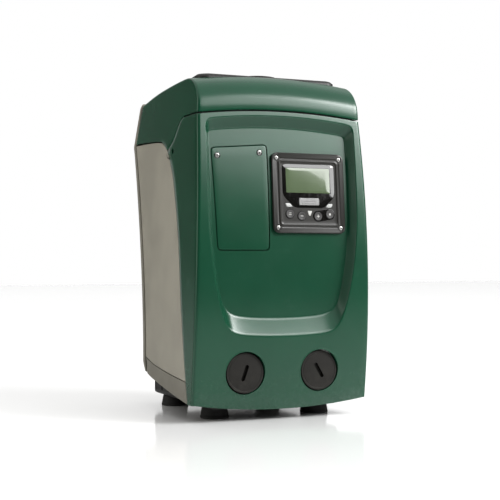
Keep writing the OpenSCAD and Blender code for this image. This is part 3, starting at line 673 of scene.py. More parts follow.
def across_front(x0, z0, y0=None):
    """Placement on the front: local axes X and up, third axis out of the front, from the recess floor."""
    def place(u, v, w):
        x, z = np.broadcast_arrays(x0 + u, z0 + v)
        y = front_y(z) + RECESS - w if y0 is None else y0 - w + 0 * z
        return xyz(x, y, z)
    return place


def hatch_loop(grow=0.0):
    """Outline of the hatch door in (x, z): four sides, the top and left slanted, with soft corners."""
    low, _ = corners("hatch_door")
    ring = [(-84.0, low[2]), (-90.0, 331.0), (-16.0, 337.0), (-16.0, low[2])]
    return offset_loop(cornered(ring, eased(30, 0.6)[:-1], 8), grow)


port_low, port_high = corners("port_cap_left")
PORT_X = -(port_low[0] + port_high[0]) / 2
PORT_Z = (port_low[2] + port_high[2]) / 2
CAP_R = (port_high[0] - port_low[0]) / 2
PORT_HOLE_R = CAP_R + 1.4
cap_face = port_low[1]
bezel_low, bezel_high = corners("display_bezel")
DISPLAY_X = (bezel_low[0] + bezel_high[0]) / 2
DISPLAY_Z = (bezel_low[2] + bezel_high[2]) / 2 - 0.2
BEZEL_W = bezel_high[0] - bezel_low[0]
SCREW_Y, SCREW_Z = -37.0, 331.8
HATCH_SCREWS = [(-82.0, 322.0), (-26.0, 327.0)]


def circle(r, n=72):
    """A closed circle of n points."""
    a = np.linspace(0, 2 * np.pi, n, endpoint=False)
    return np.stack([np.cos(a), np.sin(a)], 1) * r


def to_side(side, x0):
    """Placement at a side screw, with the local third axis out of that side."""
    return lambda u, v, w: xyz(x0 + side * w, SCREW_Y + side * u, SCREW_Z + v)


def front_cutters():
    """Openings of the shell: hatch, display, port holes and side screws."""
    tools = [cutter(prism(hatch_loop(0.9), across_front(0, 0, CUT_Y), 0, 90))]
    tools.append(cutter(prism(rounded_loop(88, 88, 3), across_front(DISPLAY_X, DISPLAY_Z, CUT_Y), 0, 90)))
    for side in (-1, 1):
        tools.append(cutter(prism(circle(PORT_HOLE_R), across_front(side * PORT_X, PORT_Z, CUT_Y), 0, 90)))
        tools.append(cutter(prism(circle(3.4, 32), to_side(side, 0.0), 90, 130)))
    return tools


put("front_shell_skin", front_skin(), GREEN, stands_for=["front_shell"],
    skin=SKIN, bevel=0.5, cutters=front_cutters())


def port_lips():
    """Round lip and short collar of each port hole: a turned edge on the bow, then a straight tube."""
    shape = Shape()
    a = np.linspace(0, 2 * np.pi, 96, endpoint=False)[None, :]
    steps = np.array([(1.6, 0.0), (1.1, -0.18), (0.5, -0.12), (0.15, 0.25), (0.0, 0.8), (0.0, 2.0),
                      (0.0, 13.0), (1.8, 13.0), (1.8, 2.5)])
    for side in (-1, 1):
        r = PORT_HOLE_R - 0.25 + steps[:, :1]
        x, z = side * PORT_X + r * np.cos(a), PORT_Z + r * np.sin(a)
        shape.add(xyz(x, front_y(z) + steps[:, 1:], z), ring=True)
    return shape.mesh("port_lips", away_from=(0, -112, PORT_Z))


put("port_hole_lips", port_lips(), GREEN)


def hatch_rebate():
    """Ledge behind the hatch door: a frame that the door closes against, open in the middle."""
    outer, inner = hatch_loop(2.4), hatch_loop(-7)
    rows = []
    for loop, depth in ((outer, 3.4), (inner, 3.4), (inner, 5.4), (outer, 5.4), (outer, 3.4)):
        rows.append(on_front(loop, RECESS + depth))
    return Shape().add(np.stack(rows), ring=True).mesh("hatch_rebate", recalc=True)


put("hatch_rebate", hatch_rebate(), GREEN, bevel=0.3)

# ---------------------------------------------------------------- lid

def lid_skin():
    """Lid: its edge profile swept across the width with the arch added, flat sides down to the seam."""
    n = 110
    edge = spline(LID_EDGE, n)
    edge[:, 1] += SEAM_GAP
    normal = outward(edge)
    shares = np.linspace(0, 1, n)
    dip = spline(SEAM_DIP[::-1], 80)
    level = [(-108, SEAM_Z + 0.5), (-90, SEAM_Z + 0.5)]
    seam = resample(np.vstack([level, dip, spline(PANEL_SHOULDER, 90)]), shares)
    seam[:, 1] += SEAM_GAP
    seam[:, 0] -= SEAM_GAP * smooth_ramp(shares, 0.9, 1.0)
    radius = CORNER_R - 1.0 * smooth_ramp(shares, 0.05, 0.3)
    shape = Shape()
    for side in (-1, 1):
        shape.add(side_strip(edge, normal, seam, radius, side, across=14), flip=side > 0)
    centre_z = (edge - normal * radius[:, None])[:, 1]
    x = (half_width(centre_z) - radius)[:, None] * np.linspace(-1, 1, 61)[None, :]
    rise = arch(x) - arch(x[:, :1])
    shape.add(xyz(x, edge[:, :1], edge[:, 1:] + rise))
    return shape.mesh("lid", recalc=True)


insert_low, insert_high = corners("top_insert")
filler_low, filler_high = corners("filler_cap")
FILLER_Y = (filler_low[1] + filler_high[1]) / 2
LID_HOLE_GAP, INSERT_HOLE_GAP, FILLER_SUNK = 2.2, 2.0, 1.3


def seam_shade_flange():
    """Black flange behind the seam, standing in as painted shade inside the seam gap: a flat bar swept along
    both sides and across the arched front.
    """
    half_height, thickness, behind = 5.0, 1.2, SKIN + 0.6
    side_line = np.vstack([spline(SEAM_DIP, 60), [(-104, SEAM_Z)]])
    x = np.linspace(-1, 1, 60) * (half_width(SEAM_Z) - 8)
    front = xyz(x, front_y(SEAM_Z) + behind, SEAM_Z + arch(x) - arch(x[0]))
    left = np.column_stack([behind - half_width(side_line[:, 1]), side_line])
    right = left[::-1] * [-1, 1, 1]
    path = np.vstack([left, front, right])
    inward = np.vstack([left * 0 + [1, 0, 0], front * 0 + [0, 1, 0], right * 0 + [-1, 0, 0]]) * thickness
    up = np.array([0, 0, half_height])
    bar = np.stack([path - up, path + up, path + up + inward, path - up + inward], 1)
    ends = [np.repeat(bar[k].mean(0)[None], 4, 0)[None] for k in (0, -1)]
    return Shape().add(np.vstack([ends[0], bar, ends[1]]), ring=True).mesh("flange", recalc=True)


# Painted shade: this flange is black so the seam gap reads dark, in place of the shade inside the casing.
put("seam_shade_flange", seam_shade_flange(), BLACK)


def lid_edge_z(y):
    """Height of the lid's side edge at y."""
    dense = spline(LID_EDGE, 300)
    high = dense[dense[:, 1] > 408]
    return np.where(y < 60, np.interp(y, *high.T), np.interp(y, *dense.T))


def lid_height(x, y):
    """Top of the lid over (x, y)."""
    return lid_edge_z(y) + arch(x)


def filler_hole(gap):
    """Cutter for the round hole that the filler cap sits in, gap wider than the cap."""
    return cutter(prism(circle(CAP_R + gap), upright(0, FILLER_Y), 380, 460))


put("lid_skin", lid_skin(), GREEN, stands_for=["top_cover"], skin=SKIN, bevel=0.5,
    cutters=[filler_hole(LID_HOLE_GAP)])


def insert_block():
    """Dark insert: a closed plate following the lid's arch, its loops shrinking over a rim and a groove."""
    w, d = insert_high[0] - insert_low[0], insert_high[1] - insert_low[1]
    middle = (insert_low[1] + insert_high[1]) / 2
    rise = TOP - np.max(lid_height(0.0, np.linspace(insert_low[1], insert_high[1], 50)))
    steps = [(83, -5), (40, -5), (0, -5), (0, rise - 2.6), (0.3, rise - 2.0), (3.0, rise - 0.3), (3.8, rise),
             (9, rise), (9.5, rise - 0.5), (10.3, rise - 0.5), (10.8, rise)]
    steps += [(inset, rise) for inset in (24, 40, 60, 83)]
    rows = []
    for inset, height in steps:
        depth = d - 2 * inset
        loop = rounded_loop(w - 2 * inset, depth, np.clip(14 - inset, 0.4, depth / 2 - 0.1), 14)
        x, y = loop[:, 0], middle + loop[:, 1]
        rows.append(np.stack([x, y, lid_height(x, y) + height], -1))
    block = Shape().add(np.stack(rows), ring=True)
    for loop in (rows[0], rows[-1]):
        half = len(loop) // 2
        block.add(np.stack([loop[:half], loop[:half - 1:-1]]))
    return block.mesh("insert", recalc=True)


put("lid_insert", insert_block(), INSERT, stands_for=["top_insert"],
    cutters=[filler_hole(INSERT_HOLE_GAP)])

# ---------------------------------------------------------------- side panels, skirts and rear cover

def side_patch(left, right, bottom, top, side, proud=0.0):
    """Coons patch in (y, z) laid on the side wall."""
    yz = coons(left, right, bottom, top)
    x = side * (half_width(yz[..., 1]) + proud)
    return np.concatenate([x[..., None], yz], -1)


def side_panel(side):
    """Light grey side panel between the green shell, the lid, the rear cover and the skirt."""
    n, m = 70, 50
    left = spline([(y + PANEL_GAP, z) for y, z in PANEL_FRONT[1:] + [(-22.5, 327)]], n)
    shoulder = [(-22.5 + PANEL_GAP, 327)] + [(y, z - SEAM_GAP) for y, z in PANEL_SHOULDER]
    shoulder[-1] = (111.2, 350.6)
    top = spline(shoulder, m)
    z = np.linspace(68.5, 350.6, n)
    right = np.stack([rear_y(z) - REAR_STRIP - SEAM_GAP, z], 1)
    right[:, 0] += (top[-1, 0] - right[-1, 0]) * smooth_ramp(z, 300, 350.6)
    bottom = spline([(-98.5 + PANEL_GAP, 49), (-40, 53.8), (16.7, 60.6), tuple(right[0])], m)
    left[0], top[0] = bottom[0], left[-1]
    patch = side_patch(left, right, bottom, top, side, -PANEL_SUNK)
    return Shape().add(patch).mesh("panel", away_from=(0, 0, 200))


def skirt(side):
    """Dark skirt under the side panel: its lower edge rises towards the back."""
    n, m = 14, 50
    left = spline([(-104, FOOT_EDGE + 0.5), (-98.6 + SEAM_GAP, 48)], n)
    right = spline([(42.8, 47), (45.2, 63.5), (50.5, 67.2)], n)
    top = spline([(-98.6 + SEAM_GAP, 48), (-40, 52.8), (16.7, 59.6), (50.5, 67.2)], m)
    bottom = spline([(-104, FOOT_EDGE + 0.5), (-45, 30.5), (21, 41.7), (42.8, 47)], m)
    left[-1], right[-1] = top[0], top[-1]
    return Shape().add(side_patch(left, right, bottom, top, side)).mesh("skirt", away_from=(0, 0, 40))


for side, word in ((-1, "left"), (1, "right")):
    put(f"panel_skin_{word}", side_panel(side), GREY_PANEL, stands_for=[f"side_panel_{word}"],
        skin=SKIN, bevel=0.6)
    put(f"skirt_skin_{word}", skirt(side), GREY_COVER, stands_for=[f"skirt_{word}"],
        skin=SKIN, bevel=0.5)

SPINE_W, SPINE_R = 184.0, 14.0
SPINE_Z = (98.0, 352.0)
SPINE_EDGE = 2.4
BRACKET_W, BRACKET_H, BRACKET_Z = 120.0, 180.0, 222.0
PIPE_GAP_W, PIPE_GAP_H = 207.0, 96.0
bracket_holes = [(x, BRACKET_Z + z) for x in (-BRACKET_W / 2, BRACKET_W / 2)
                 for z in (-BRACKET_H / 2, BRACKET_H / 2)]


def clustered(marks, spread, plain):
    """Increasing values over plain stops, with a tight group of lines about each mark."""
    groups = [np.linspace(m - spread, m + spread, 11) for m in marks]
    return np.unique(np.round(np.concatenate([plain] + groups), 4))


def spine_rise(x, z):
    """0 to 1 over the back plate: a rounded box's signed distance, ramped over SPINE_EDGE."""
    half_h = (SPINE_Z[1] - SPINE_Z[0]) / 2
    a = np.abs(x) - SPINE_W / 2 + SPINE_R
    b = np.abs(z - sum(SPINE_Z) / 2) - half_h + SPINE_R
    gap = np.minimum(np.maximum(a, b), 0) + np.hypot(np.maximum(a, 0), np.maximum(b, 0)) - SPINE_R
    return 1 - smooth_ramp(gap, -SPINE_EDGE, 0.0)


def rear_skin():
    """Rear cover: swept silhouette with rounded corners, and the flat back plate raised out of it."""
    z_low = clustered([SPINE_Z[0]], 4, np.linspace(48.5, 340, 70))
    z_low = z_low[z_low < 345]
    low_edge = np.stack([rear_y(z_low), z_low], 1)
    low_line = low_edge - [REAR_STRIP, 0]
    low_line[:, 0] -= 4.5 * smooth_ramp(-z_low, -66, -47)
    low_edge[:, 0] -= 9.0 * smooth_ramp(-z_low, -62, -46)
    edge = np.vstack([low_edge, spline(REAR_EDGE_TOP, 44)])
    line = np.vstack([low_line, spline(REAR_LINE_TOP, 44)])
    line[:, 0] += SEAM_GAP
    normal = outward(edge) * -1
    radius = 3.0 - 0.5 * smooth_ramp(edge[:, 1], 346, 380)
    shape = Shape()
    for side in (-1, 1):
        shape.add(side_strip(edge, normal, line, radius, side, across=6), flip=side < 0)
    x_end = half_width((edge - normal * radius[:, None])[:, 1]) - radius
    plate_share = 0.855
    share = clustered([-plate_share, plate_share], 0.035, np.linspace(-1, 1, 41))
    share = share[np.abs(share) <= 1]
    x = x_end[:, None] * share[None, :]
    y, z = edge[:, :1] + 0 * x, edge[:, 1:] + 0 * x
    crown = arch(x) - arch(x[:, :1])
    z = z + crown * smooth_ramp(z, 380, 405)
    y = y + (BACK - y) * spine_rise(x, z) * (z < 360)
    shape.add(np.stack([x, y, z], -1))
    return shape.mesh("rear", recalc=True)


def pipe_gap():
    """The gap under the back plate that the rear pipes pass through: rounded, and open at the foot."""
    outline = rounded_loop(PIPE_GAP_W, PIPE_GAP_H, 10, 12) + [0, SPINE_Z[0] - 1 - PIPE_GAP_H / 2]
    return cutter(prism(outline, to_back(0, 0, 40), 0, 110))


bracket_tools = [cutter(prism(circle(3, 32), to_back(x, z, BACK), -18, 2)) for x, z in bracket_holes]
put("rear_cover_skin", rear_skin(), GREY_COVER, stands_for=["rear_cover"],
    skin=SKIN, bevel=0.5, cutters=bracket_tools + [pipe_gap()])


def bracket_bushes():
    """Flanged bush in each bracket hole: a turned ring with a rounded face."""
    shape = Shape()
    ring = rounded_profile([(3.0, -17), (3.0, 0.0), (5.4, 0.0), (5.4, -1.4)], 0.4)
    for x, z in bracket_holes:
        shape.join(lathe(ring, to_back(x, z, BACK - 0.05), 40))
    return shape.mesh("bushes", recalc=True)


put("bracket_bushes", bracket_bushes(), BRASS)

# ---------------------------------------------------------------- hatch

def hatch_skin():
    """Hatch door: a bowed plate of constant thickness over its outline, with rounded edges."""
    loop = hatch_loop()
    middle = loop.mean(0)
    steps = [(0.0, 3.0), (0.9, 3.0), (1.0, 2.6), (1.0, 0.7), (0.985, 0.12), (0.96, 0.0)]
    steps += [(share, 0.0) for share in (0.8, 0.6, 0.4, 0.2, 0.0)]
    rows = []
    for share, depth in steps:
        inset = offset_loop(loop, -(1 - share) * 40) if share > 0.9 else middle + (loop - middle) * share
        rows.append(on_front(inset, RECESS + depth))
    return Shape().add(np.stack(rows), ring=True).mesh("hatch", recalc=True)


def screw_heads(places, r, proud):
    """Pan heads with a cross recess: a turned dome, and a cross-shaped dip in the middle of its grid."""
    shape = Shape()
    a = np.linspace(0, 2 * np.pi, 48, endpoint=False)[None, :]
    radii = np.concatenate([[0.0], np.linspace(0.12, 0.75, 12), [0.86, 0.95, 1.0, 1.0]])[:, None] * r
    dome = proud * np.sqrt(np.clip(1 - (radii / (r * 1.35)) ** 2, 0, 1))
    dome[-1] = -1.2
    x, y = radii * np.cos(a), radii * np.sin(a)
    arm = np.minimum(np.abs(x), np.abs(y))
    reach = np.maximum(np.abs(x), np.abs(y))
    dip = (1 - smooth_ramp(arm, 0.10 * r, 0.22 * r)) * (1 - smooth_ramp(reach, 0.5 * r, 0.66 * r))
    h = dome - 0.35 * r * dip
    for place in places:
        shape.add(place(x, y, h), ring=True)
    return shape


put("hatch_skin", hatch_skin(), GREEN, body="hatch", stands_for=["hatch_door"],
    cutters=[cutter(prism(circle(3.6, 32), across_front(x, z), -1.6, 6)) for x, z in HATCH_SCREWS])
wells = Shape()
well = [(3.9, 0.15), (3.6, -0.1), (3.45, -0.5), (3.4, -1.5), (0.2, -1.5)]
for x, z in HATCH_SCREWS:
    wells.join(lathe(well, across_front(x, z), 40))
put("hatch_screw_wells", wells.mesh("wells", away_from=(0, -60, 325)), BLACK, body="hatch")
heads = screw_heads([across_front(x, z, front_y(z) + RECESS + 0.9) for x, z in HATCH_SCREWS], 2.9, 1.1)
put("hatch_screw_heads", heads.mesh("heads", away_from=(-50, -60, 325)), STEEL, body="hatch",
    stands_for=["hatch_screws"])


key_low, key_high = corners("service_key")
KEY_X = (key_low[0] + key_high[0]) / 2
KEY_HEAD_R, KEY_TAIL_R, KEY_BAR, KEY_EDGE = 13.0, 9.0, 6.0, 0.7
KEY_HEAD_Z = key_high[2] - KEY_HEAD_R


def service_key():
    """Service tool: a bar between a ring end and a smaller round end, extruded, its edges chamfered."""
    z = np.linspace(key_low[2], key_high[2], 120)
    tail_z = key_low[2] + KEY_TAIL_R
    ring = np.sqrt(np.clip(KEY_HEAD_R ** 2 - (z - KEY_HEAD_Z) ** 2, 0, None))
    tail = np.sqrt(np.clip(KEY_TAIL_R ** 2 - (z - tail_z) ** 2, 0, None))
    bar = KEY_BAR * ((z > tail_z) & (z < KEY_HEAD_Z))
    half = np.maximum(np.maximum(ring, tail), bar)
    loop = np.vstack([np.stack([half, z], 1), np.stack([-half, z], 1)[::-1][1:-1]])
    loop = softened(loop, np.full(len(loop), 2))
    y_face, thick = key_low[1], key_high[1] - key_low[1]
    middle = xyz(KEY_X, y_face, loop[:, 1])
    rows = [middle]
    for inset, depth in ((KEY_EDGE, 0.0), (0.0, KEY_EDGE), (0.0, thick - KEY_EDGE), (KEY_EDGE, thick)):
        moved = offset_loop(loop, -inset) if inset else loop
        rows.append(xyz(KEY_X + moved[:, 0], y_face + depth, moved[:, 1]))
    return Shape().add(np.stack(rows + [middle + [0, thick, 0]]), ring=True).mesh("key", recalc=True)


put("service_tool", service_key(), GREY_TOOL, stands_for=["service_key"],
    cutters=[cutter(prism(circle(7, 6), across_front(KEY_X, KEY_HEAD_Z, CUT_Y), 0, 60))])

# ---------------------------------------------------------------- display, in its own tilted frame

TILT = np.arctan((DISPLAY_Z - BOW_Z) / BOW_R)
DISPLAY_Y = front_y(DISPLAY_Z) + RECESS


def on_display(u0=0.0, v0=0.0, w0=0.0):
    """Placement on the display: local axes across, up the panel and out of it."""
    def place(u, v, w):
        u, v, w = np.broadcast_arrays(u0 + u, v0 + v, w0 + w)
        y = DISPLAY_Y + v * np.sin(TILT) - w * np.cos(TILT)
        z = DISPLAY_Z + v * np.cos(TILT) + w * np.sin(TILT)
        return np.stack([DISPLAY_X + u, y, z], -1)
    return place


def window_loop(grow=0.0):
    """Window outline: square shoulders, sides that curve in below to a narrow foot."""
    t = np.linspace(0, 1, 28)
    right = np.stack([36 - 15.5 * smooth_ramp(t, 0.62, 1.02) ** 1.6, 36 - 54 * t], 1)
    left = right[::-1] * [-1, 1] + [0.3, 0]
    foot = np.stack([np.linspace(20.5, -20.2, 24), np.full(24, -18.0)], 1)
    head = np.stack([np.linspace(-35.7, 36, 24), np.full(24, 36.0)], 1)
    loop = np.vstack([right, foot[1:-1], left, head[1:-1]])
    return offset_loop(softened(loop, np.full(len(loop), 4)), grow)


key_boxes = [corners(k) for k in ("key_mode", "key_minus", "key_plus", "key_set")]
KEYS = [((a[0] + b[0]) / 2 - DISPLAY_X, ((a[2] + b[2]) / 2 - DISPLAY_Z) / np.cos(TILT)) for a, b in key_boxes]
KEY_R = 5.5
FIELD = 3.05
CORNER_SCREW = 43.2
EIGHTHS = np.linspace(0, 1, 9)[:-1]
screw_spots = [(sx * CORNER_SCREW, sy * CORNER_SCREW) for sx in (-1, 1) for sy in (-1, 1)]


def led_loop(side, grow=0.0):
    """Slanted status lens beside the window's foot."""
    ring = np.array([(22.6, -17.4), (31.0, -17.4), (33.0, -12.8), (26.4, -12.8)]) * [side, 1]
    return offset_loop(cornered(ring, EIGHTHS, 2), grow)


def bezel_skin():
    """Bezel: a rounded square swept through its section (roll, groove, roll), then the flat field."""
    section = [(1.6, 0.3), (1.3, 1.2), (0.1, 1.5), (0.0, 1.9), (0.35, 2.8), (1.3, 3.7), (2.6, 4.1),
               (4.6, 4.2), (5.8, 4.1), (6.5, 3.5), (7.1, 2.9), (7.9, 2.8), (8.7, 3.1), (9.4, 3.6),
               (10.2, 3.8), (11.0, 3.6), (11.7, 3.2)]
    section += [(inset, FIELD) for inset in (12.6, 16, 24, 36, 49)]
    place = on_display()
    rows = [place(np.zeros(48), 0, 0.3), place(*rounded_loop(BEZEL_W - 8, BEZEL_W - 8, 6, 12).T, 0.3)]
    for inset, height in section:
        w = BEZEL_W - 2 * inset
        loop = rounded_loop(w, w, np.clip(8.5 - inset * 0.45, 1.0, w / 2 - 0.2), 12)
        from_screw = np.hypot(*(np.abs(loop) - CORNER_SCREW).T)
        pad = 1 - smooth_ramp(from_screw, 4.0, 7.5)
        rows.append(place(*loop.T, height + (3.3 - height) * pad * (height > 1.7)))
    rows.append(place(np.zeros(48), 0, FIELD))
    return Shape().add(np.stack(rows), ring=True).mesh("bezel", recalc=True)


tools = [cutter(prism(window_loop(0.35), on_display(), -3, 9))]
tools += [cutter(prism(led_loop(s, 0.25), on_display(), -3, 9)) for s in (-1, 1)]
tools += [cutter(prism(circle(KEY_R + 0.5, 48), on_display(*k), -3, 9)) for k in KEYS]
tools += [cutter(prism(circle(3.5, 32), on_display(*spot), 2.2, 9)) for spot in screw_spots]
put("bezel_skin", bezel_skin(), BEZEL, stands_for=["display_bezel"], cutters=tools)

LCD_U, LCD_V = (-31.0, 30.0), (0.2, 31.6)
lcd_middle = (sum(LCD_U) / 2, sum(LCD_V) / 2)
lcd_size = (LCD_U[1] - LCD_U[0], LCD_V[1] - LCD_V[0])
lcd_loop = rounded_loop(*lcd_size, 1.0, 6) + lcd_middle
window = pillow(window_loop(), on_display(), [(0, -1.5), (0, 2.6), (0.06, 2.76), (0.2, 2.8)])
put("window_glass", window.mesh("window", recalc=True), GLOSS_BLACK, stands_for=["display_window"],
    cutters=[cutter(prism(lcd_loop, on_display(), 2.4, 9))])
lcd = pillow(rounded_loop(*lcd_size, 0.8, 6) * 0.995, on_display(*lcd_middle),
             [(0, 1.2), (0, 2.45), (0.1, 2.55), (0.5, 2.58)])
put("lcd_glass", lcd.mesh("lcd", recalc=True), LCD, stands_for=["lcd_panel"])
lenses = Shape()
for side in (-1, 1):
    lenses.join(pillow(led_loop(side), on_display(), [(0, -1), (0, 2.9), (0.2, 3.3), (0.8, 3.4)]))
put("status_lenses", lenses.mesh("lenses", recalc=True), LENS, stands_for=["led_lenses"])


def badge():
    """Blank badge: a thin rounded plate with a raised rim and two plain ribs."""
    loop = rounded_loop(28, 9.2, 1.6, 10)
    rim = [(0, 2.6), (0, 3.1), (0.15, 3.35), (0.7, 3.4), (0.95, 3.1), (1.2, 3.1)]
    plate = pillow(loop, on_display(0, -10.6), rim)
    for v in (-9.4, -12.2):
        rib = [(0, 3.0), (0, 3.25), (0.2, 3.4), (0.6, 3.42)]
        plate.join(pillow(rounded_loop(20.0, 1.3, 0.5, 6), on_display(0, v), rib))
    return plate.mesh("badge", recalc=True)


put("badge_skin", badge(), BADGE, stands_for=["badge_plate"])


def key_top(k):
    """Key: a soft button with a rounded shoulder and a shallow dish for the fingertip."""
    profile = [(0, 3.85), (2.2, 3.9), (3.6, 4.05), (4.5, 4.25), (5.0, 4.2), (5.35, 3.9), (KEY_R, 3.4),
               (KEY_R, 0.8), (0, 0.8)]
    return lathe(profile, on_display(*KEYS[k]), 56).mesh("key", recalc=True)


def legend(k):
    """Plain raised sign on a key: two bars, one bar, a cross or a square, as thin rounded strips."""
    signs = [[(3.6, 0.8, 1.1), (3.6, 0.8, -1.1)], [(4.2, 0.9, 0)], [(4.2, 0.9, 0), (0.9, 4.2, 0)],
             [(2.6, 2.6, 0)]]
    shape = Shape()
    for w, h, v in signs[k]:
        place = on_display(KEYS[k][0], KEYS[k][1] + v)
        shape.join(pillow(rounded_loop(w, h, 0.4, 5), place, [(0, 3.8), (0, 4.1), (0.12, 4.2), (0.3, 4.22)]))
    return shape.mesh("legend", recalc=True)


for k, word in enumerate(("mode", "minus", "plus", "set")):
    put(f"key_top_{word}", key_top(k), KEY_RUBBER, body=f"key_{word}_body", stands_for=[f"key_{word}"])
    put(f"key_sign_{word}", legend(k), LEGEND, body=f"key_{word}_body")


def key_inlay():
    """Gloss inlay round the two right keys: a stadium, half a circle about each key."""
    a, b = np.array(KEYS[2]), np.array(KEYS[3])
    angle = np.arctan2(*(b - a)[::-1])
    turn = np.linspace(np.pi / 2, 1.5 * np.pi, 24)
    ends = [centre + 7.0 * np.stack([np.cos(angle + t), np.sin(angle + t)], 1)
            for centre, t in ((a, turn), (b, turn - np.pi))]
    return pillow(np.vstack(ends), on_display(), [(0, 2.6), (0, 3.1), (0.15, 3.2), (1.0, 3.22)]).mesh(
        "inlay", recalc=True)


put("key_inlay", key_inlay(), GLOSS_BLACK,
    cutters=[cutter(prism(circle(KEY_R + 0.45, 48), on_display(*k), -3, 9)) for k in KEYS[2:]])
pointer = cornered([(-3.4, 2.9), (3.4, 2.9), (0.9, -3.2), (-0.9, -3.2)], EIGHTHS, 2)
mark = pillow(pointer, on_display(0.4, -24.8), [(0, 2.8), (0, 3.2), (0.2, 3.35), (0.8, 3.38)])
put("wireless_mark", mark.mesh("mark", recalc=True), LEGEND)
heads = screw_heads([on_display(u, v, 2.3) for u, v in screw_spots], 2.5, 1.1)
put("bezel_screw_heads", heads.mesh("heads", away_from=(38, -60, 278)), STEEL, stands_for=["display_screws"])

# ---------------------------------------------------------------- caps, feet, side screws

def cap_skin(place, face=0.0):
    """Cap: a flat turned disc with its face at the given height, a fine groove, and the plug behind."""
    outline = [(0, face), (CAP_R - 3.4, face), (CAP_R - 3.0, face - 0.35), (CAP_R - 2.6, face),
               (CAP_R - 0.2, face), (CAP_R, face - 1.2), (CAP_R, -7), (20, -7), (20, -13.8),
               (15.1, -13.8), (15.1, -28), (11, -28), (11, -9), (0, -9)]
    return lathe(rounded_profile(outline, 0.5, 4), place, 120)


def slot_tool(place, degrees):
    """Coin slot: a straight slot with rounded ends, turned by degrees."""
    loop = rounded_loop(4.6, 20.5, 2.2, 10)
    a = np.radians(degrees)
    turned = loop @ np.array([[np.cos(a), np.sin(a)], [-np.sin(a), np.cos(a)]])
    return cutter(prism(turned, place, -5, 3))


for side, word, degrees in ((-1, "left", -19.5), (1, "right", 30.6)):
    place = in_front(side * PORT_X, PORT_Z, cap_face)
    put(f"cap_skin_{word}", cap_skin(place).mesh("cap", recalc=True), CAP, body=f"{word}_cap",
        stands_for=[f"port_cap_{word}"], cutters=[slot_tool(place, degrees)])
place = upright(0, FILLER_Y, filler_high[2])
put("filler_cap_skin", cap_skin(place, -FILLER_SUNK).mesh("cap", recalc=True), CAP, body="top_cap",
    stands_for=["filler_cap"], cutters=[slot_tool(place, 90)])


def foot_skin(node):
    """Foot: a turned rubber cone with a rounded sole, a shallow grip groove and a hollow for the screw."""
    low, high = corners(node)
    x, y = (low[0] + high[0]) / 2, (low[1] + high[1]) / 2
    r, h = (high[0] - low[0]) / 2, high[2]
    profile = rounded_profile([(7, 7), (7, 0), (r - 0.6, 0), (r, 1.2), (r - 0.35, 3.4), (r - 1.1, 3.8),
                               (r - 0.6, 4.4), (r - 2.2, h - 1), (r - 3.0, h), (3.1, h)], 0.5, 4)
    return lathe(profile, upright(x, y), 72).mesh("foot", away_from=(x, y, h / 2))


for end in ("front_left", "front_right", "rear_left", "rear_right"):
    put(f"foot_skin_{end}", foot_skin(f"foot_{end}"), RUBBER, stands_for=[f"foot_{end}"])

side_screws = [to_side(side, side * (half_width(SCREW_Z) - 3.2)) for side in (-1, 1)]
heads = screw_heads(side_screws, 3.0, 1.3)
put("side_screw_heads", heads.mesh("heads", away_from=(0, SCREW_Y, SCREW_Z)), STEEL,
    stands_for=["shell_screws"])

# ---------------------------------------------------------------- carried-over CAD nodes

CARRIED = {
    BLACK: ["base_chassis", "hatch_tray", "cable_gland", "hydraulic_body", "diffusers"],
    RUBBER: ["port_seal_left", "port_seal_right", "filler_seal", "mount_dampers", "shaft_seal",
             "check_valve_poppet"],
    STEEL: ["foot_screws", "pump_shaft", "bearings", "check_valve_spring"],
    SHEET_STEEL: ["pump_barrel"],
    CORE_STEEL: ["rotor_core", "stator_core"],
    BRASS: ["filler_neck", "port_inserts", "check_valve_body"],
    NATURAL: ["impeller_1", "impeller_2", "impeller_3", "flow_turbine"],
    COPPER: ["stator_windings"],
    CAST: ["motor_shell", "motor_cover"],
    VESSEL: ["expansion_vessel"],
    BOARD: ["display_board", "inverter_unit"],
}
for finish, names in CARRIED.items():
    for name in names:
        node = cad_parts[name]
        node.data.materials.clear()
        node.data.materials.append(finish)

# ---------------------------------------------------------------- stage, lights and camera

FLOOR_FRONT, FLOOR_FAR = -950.0, 7000.0


def floor_sheet():
    """Level floor: a grid of points at height 0, ending a little way in front of the unit."""
    x, y = np.linspace(-FLOOR_FAR, FLOOR_FAR, 9), np.linspace(FLOOR_FRONT, FLOOR_FAR, 9)
    return Shape().add(xyz(x[None, :], y[:, None], 0.0)).mesh("floor", away_from=(0, 0, -100))


floor_finish = Finish("pale_floor", Roughness=0.12, IOR=1.45)
mottle = floor_finish.noise(220, 2)
floor_finish.link("Base Color", floor_finish.blend(mottle, (0.90, 0.90, 0.90, 1), (0.92, 0.92, 0.92, 1)))
floor = bpy.data.objects.new("floor", floor_sheet())
floor.data.materials.append(floor_finish.material)
bpy.context.scene.collection.objects.link(floor)


def heading(azimuth, elevation):
    """Unit vector out of the front, azimuth degrees round to the right and elevation degrees up."""
    a, e = np.radians([azimuth, elevation])
    return Vector((np.sin(a) * np.cos(e), -np.cos(a) * np.cos(e), np.sin(e)))


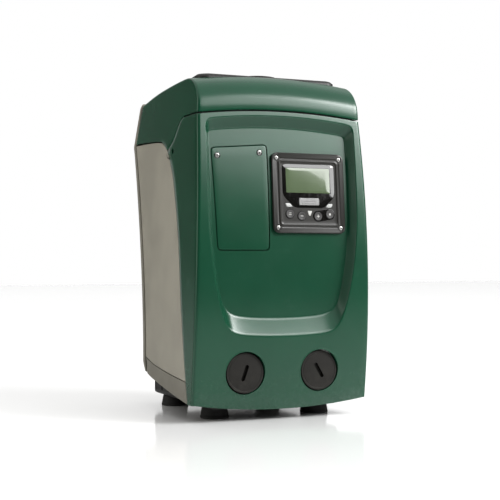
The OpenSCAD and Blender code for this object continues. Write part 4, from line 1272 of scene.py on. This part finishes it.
def softbox(name, azimuth, elevation, distance, size, radiance, roll=0.0, from_edge=False, tint=(1, 1, 1)):
    """A rectangular lamp facing the display; with from_edge, the aimed line runs along its lower edge."""
    aim = Vector((0.05, -0.118, 0.297))
    out = heading(azimuth, elevation)
    level = Vector((-out.y, out.x, 0)).normalized()
    rise = out.cross(level)
    turn = np.radians(roll)
    across = level * np.cos(turn) + rise * np.sin(turn)
    up = out.cross(across)
    lamp = bpy.data.lights.new(name, "AREA")
    lamp.shape, lamp.size, lamp.size_y = "RECTANGLE", size[0], size[1]
    lamp.energy, lamp.color = radiance * np.pi * size[0] * size[1], tint
    made = bpy.data.objects.new(name, lamp)
    made.location = aim + out * distance + up * (size[1] / 2 if from_edge else 0)
    made.rotation_euler = Matrix((across, up, out)).transposed().to_euler()
    made.visible_camera = False
    bpy.context.scene.collection.objects.link(made)


softbox("key_box", 27.9, 11.75, 2.6, (2.1, 1.5), 5.0, roll=-33, from_edge=True)
softbox("lid_box", 52, 30, 2.4, (1.3, 0.75), 19.0)
softbox("left_box", -96, 14, 2.5, (1.6, 1.6), 2.3, tint=(1.0, 0.98, 0.93))

WALL_AZIMUTH = np.radians(20)
sky = bpy.data.worlds.new("studio")
sky.use_nodes = True


class Sky(Finish):
    """The studio's surroundings: a bright wall behind, a warm dim room elsewhere, a light ceiling."""

    def __init__(self, world):
        self.tree = world.node_tree
        self.shader = self.tree.nodes["Background"]
        self.where = self.node("ShaderNodeTexCoord", out="Generated")
        x, y, z = [self.node("ShaderNodeSeparateXYZ", None, {0: self.where}, out=k) for k in "XYZ"]
        towards_wall = x * np.sin(WALL_AZIMUTH) + y * np.cos(WALL_AZIMUTH)
        wall = self.between(towards_wall, 0.77, 0.95)
        ring = self.blend(wall, (0.07, 0.065, 0.055, 1), (1.0, 1.0, 1.0, 1))
        room = self.blend(self.between(z, 0.42, 0.72), ring, (1.25, 1.25, 1.25, 1))
        seen_directly = self.node("ShaderNodeLightPath", out="Is Camera Ray")
        self.link("Color", self.blend(seen_directly, room, (1.0, 1.0, 1.0, 1)))


Sky(sky)
bpy.context.scene.world = sky
bpy.context.scene.view_settings.view_transform = "Standard"
bpy.context.scene.view_settings.gamma = 0.88

AZIMUTH, PITCH = np.radians(23.9), np.radians(0.39)
lens = bpy.data.cameras.new("camera")
lens.sensor_width, lens.lens = 36.0, 84.24
lens.clip_start, lens.clip_end = 0.05, 50
camera = bpy.data.objects.new("camera", lens)
camera.location = (-0.617, -1.4165, 0.198)
look = Vector((np.sin(AZIMUTH) * np.cos(PITCH), np.cos(AZIMUTH) * np.cos(PITCH), np.sin(PITCH)))
camera.rotation_euler = look.to_track_quat("-Z", "Y").to_euler()
bpy.context.scene.collection.objects.link(camera)
bpy.context.scene.camera = camera
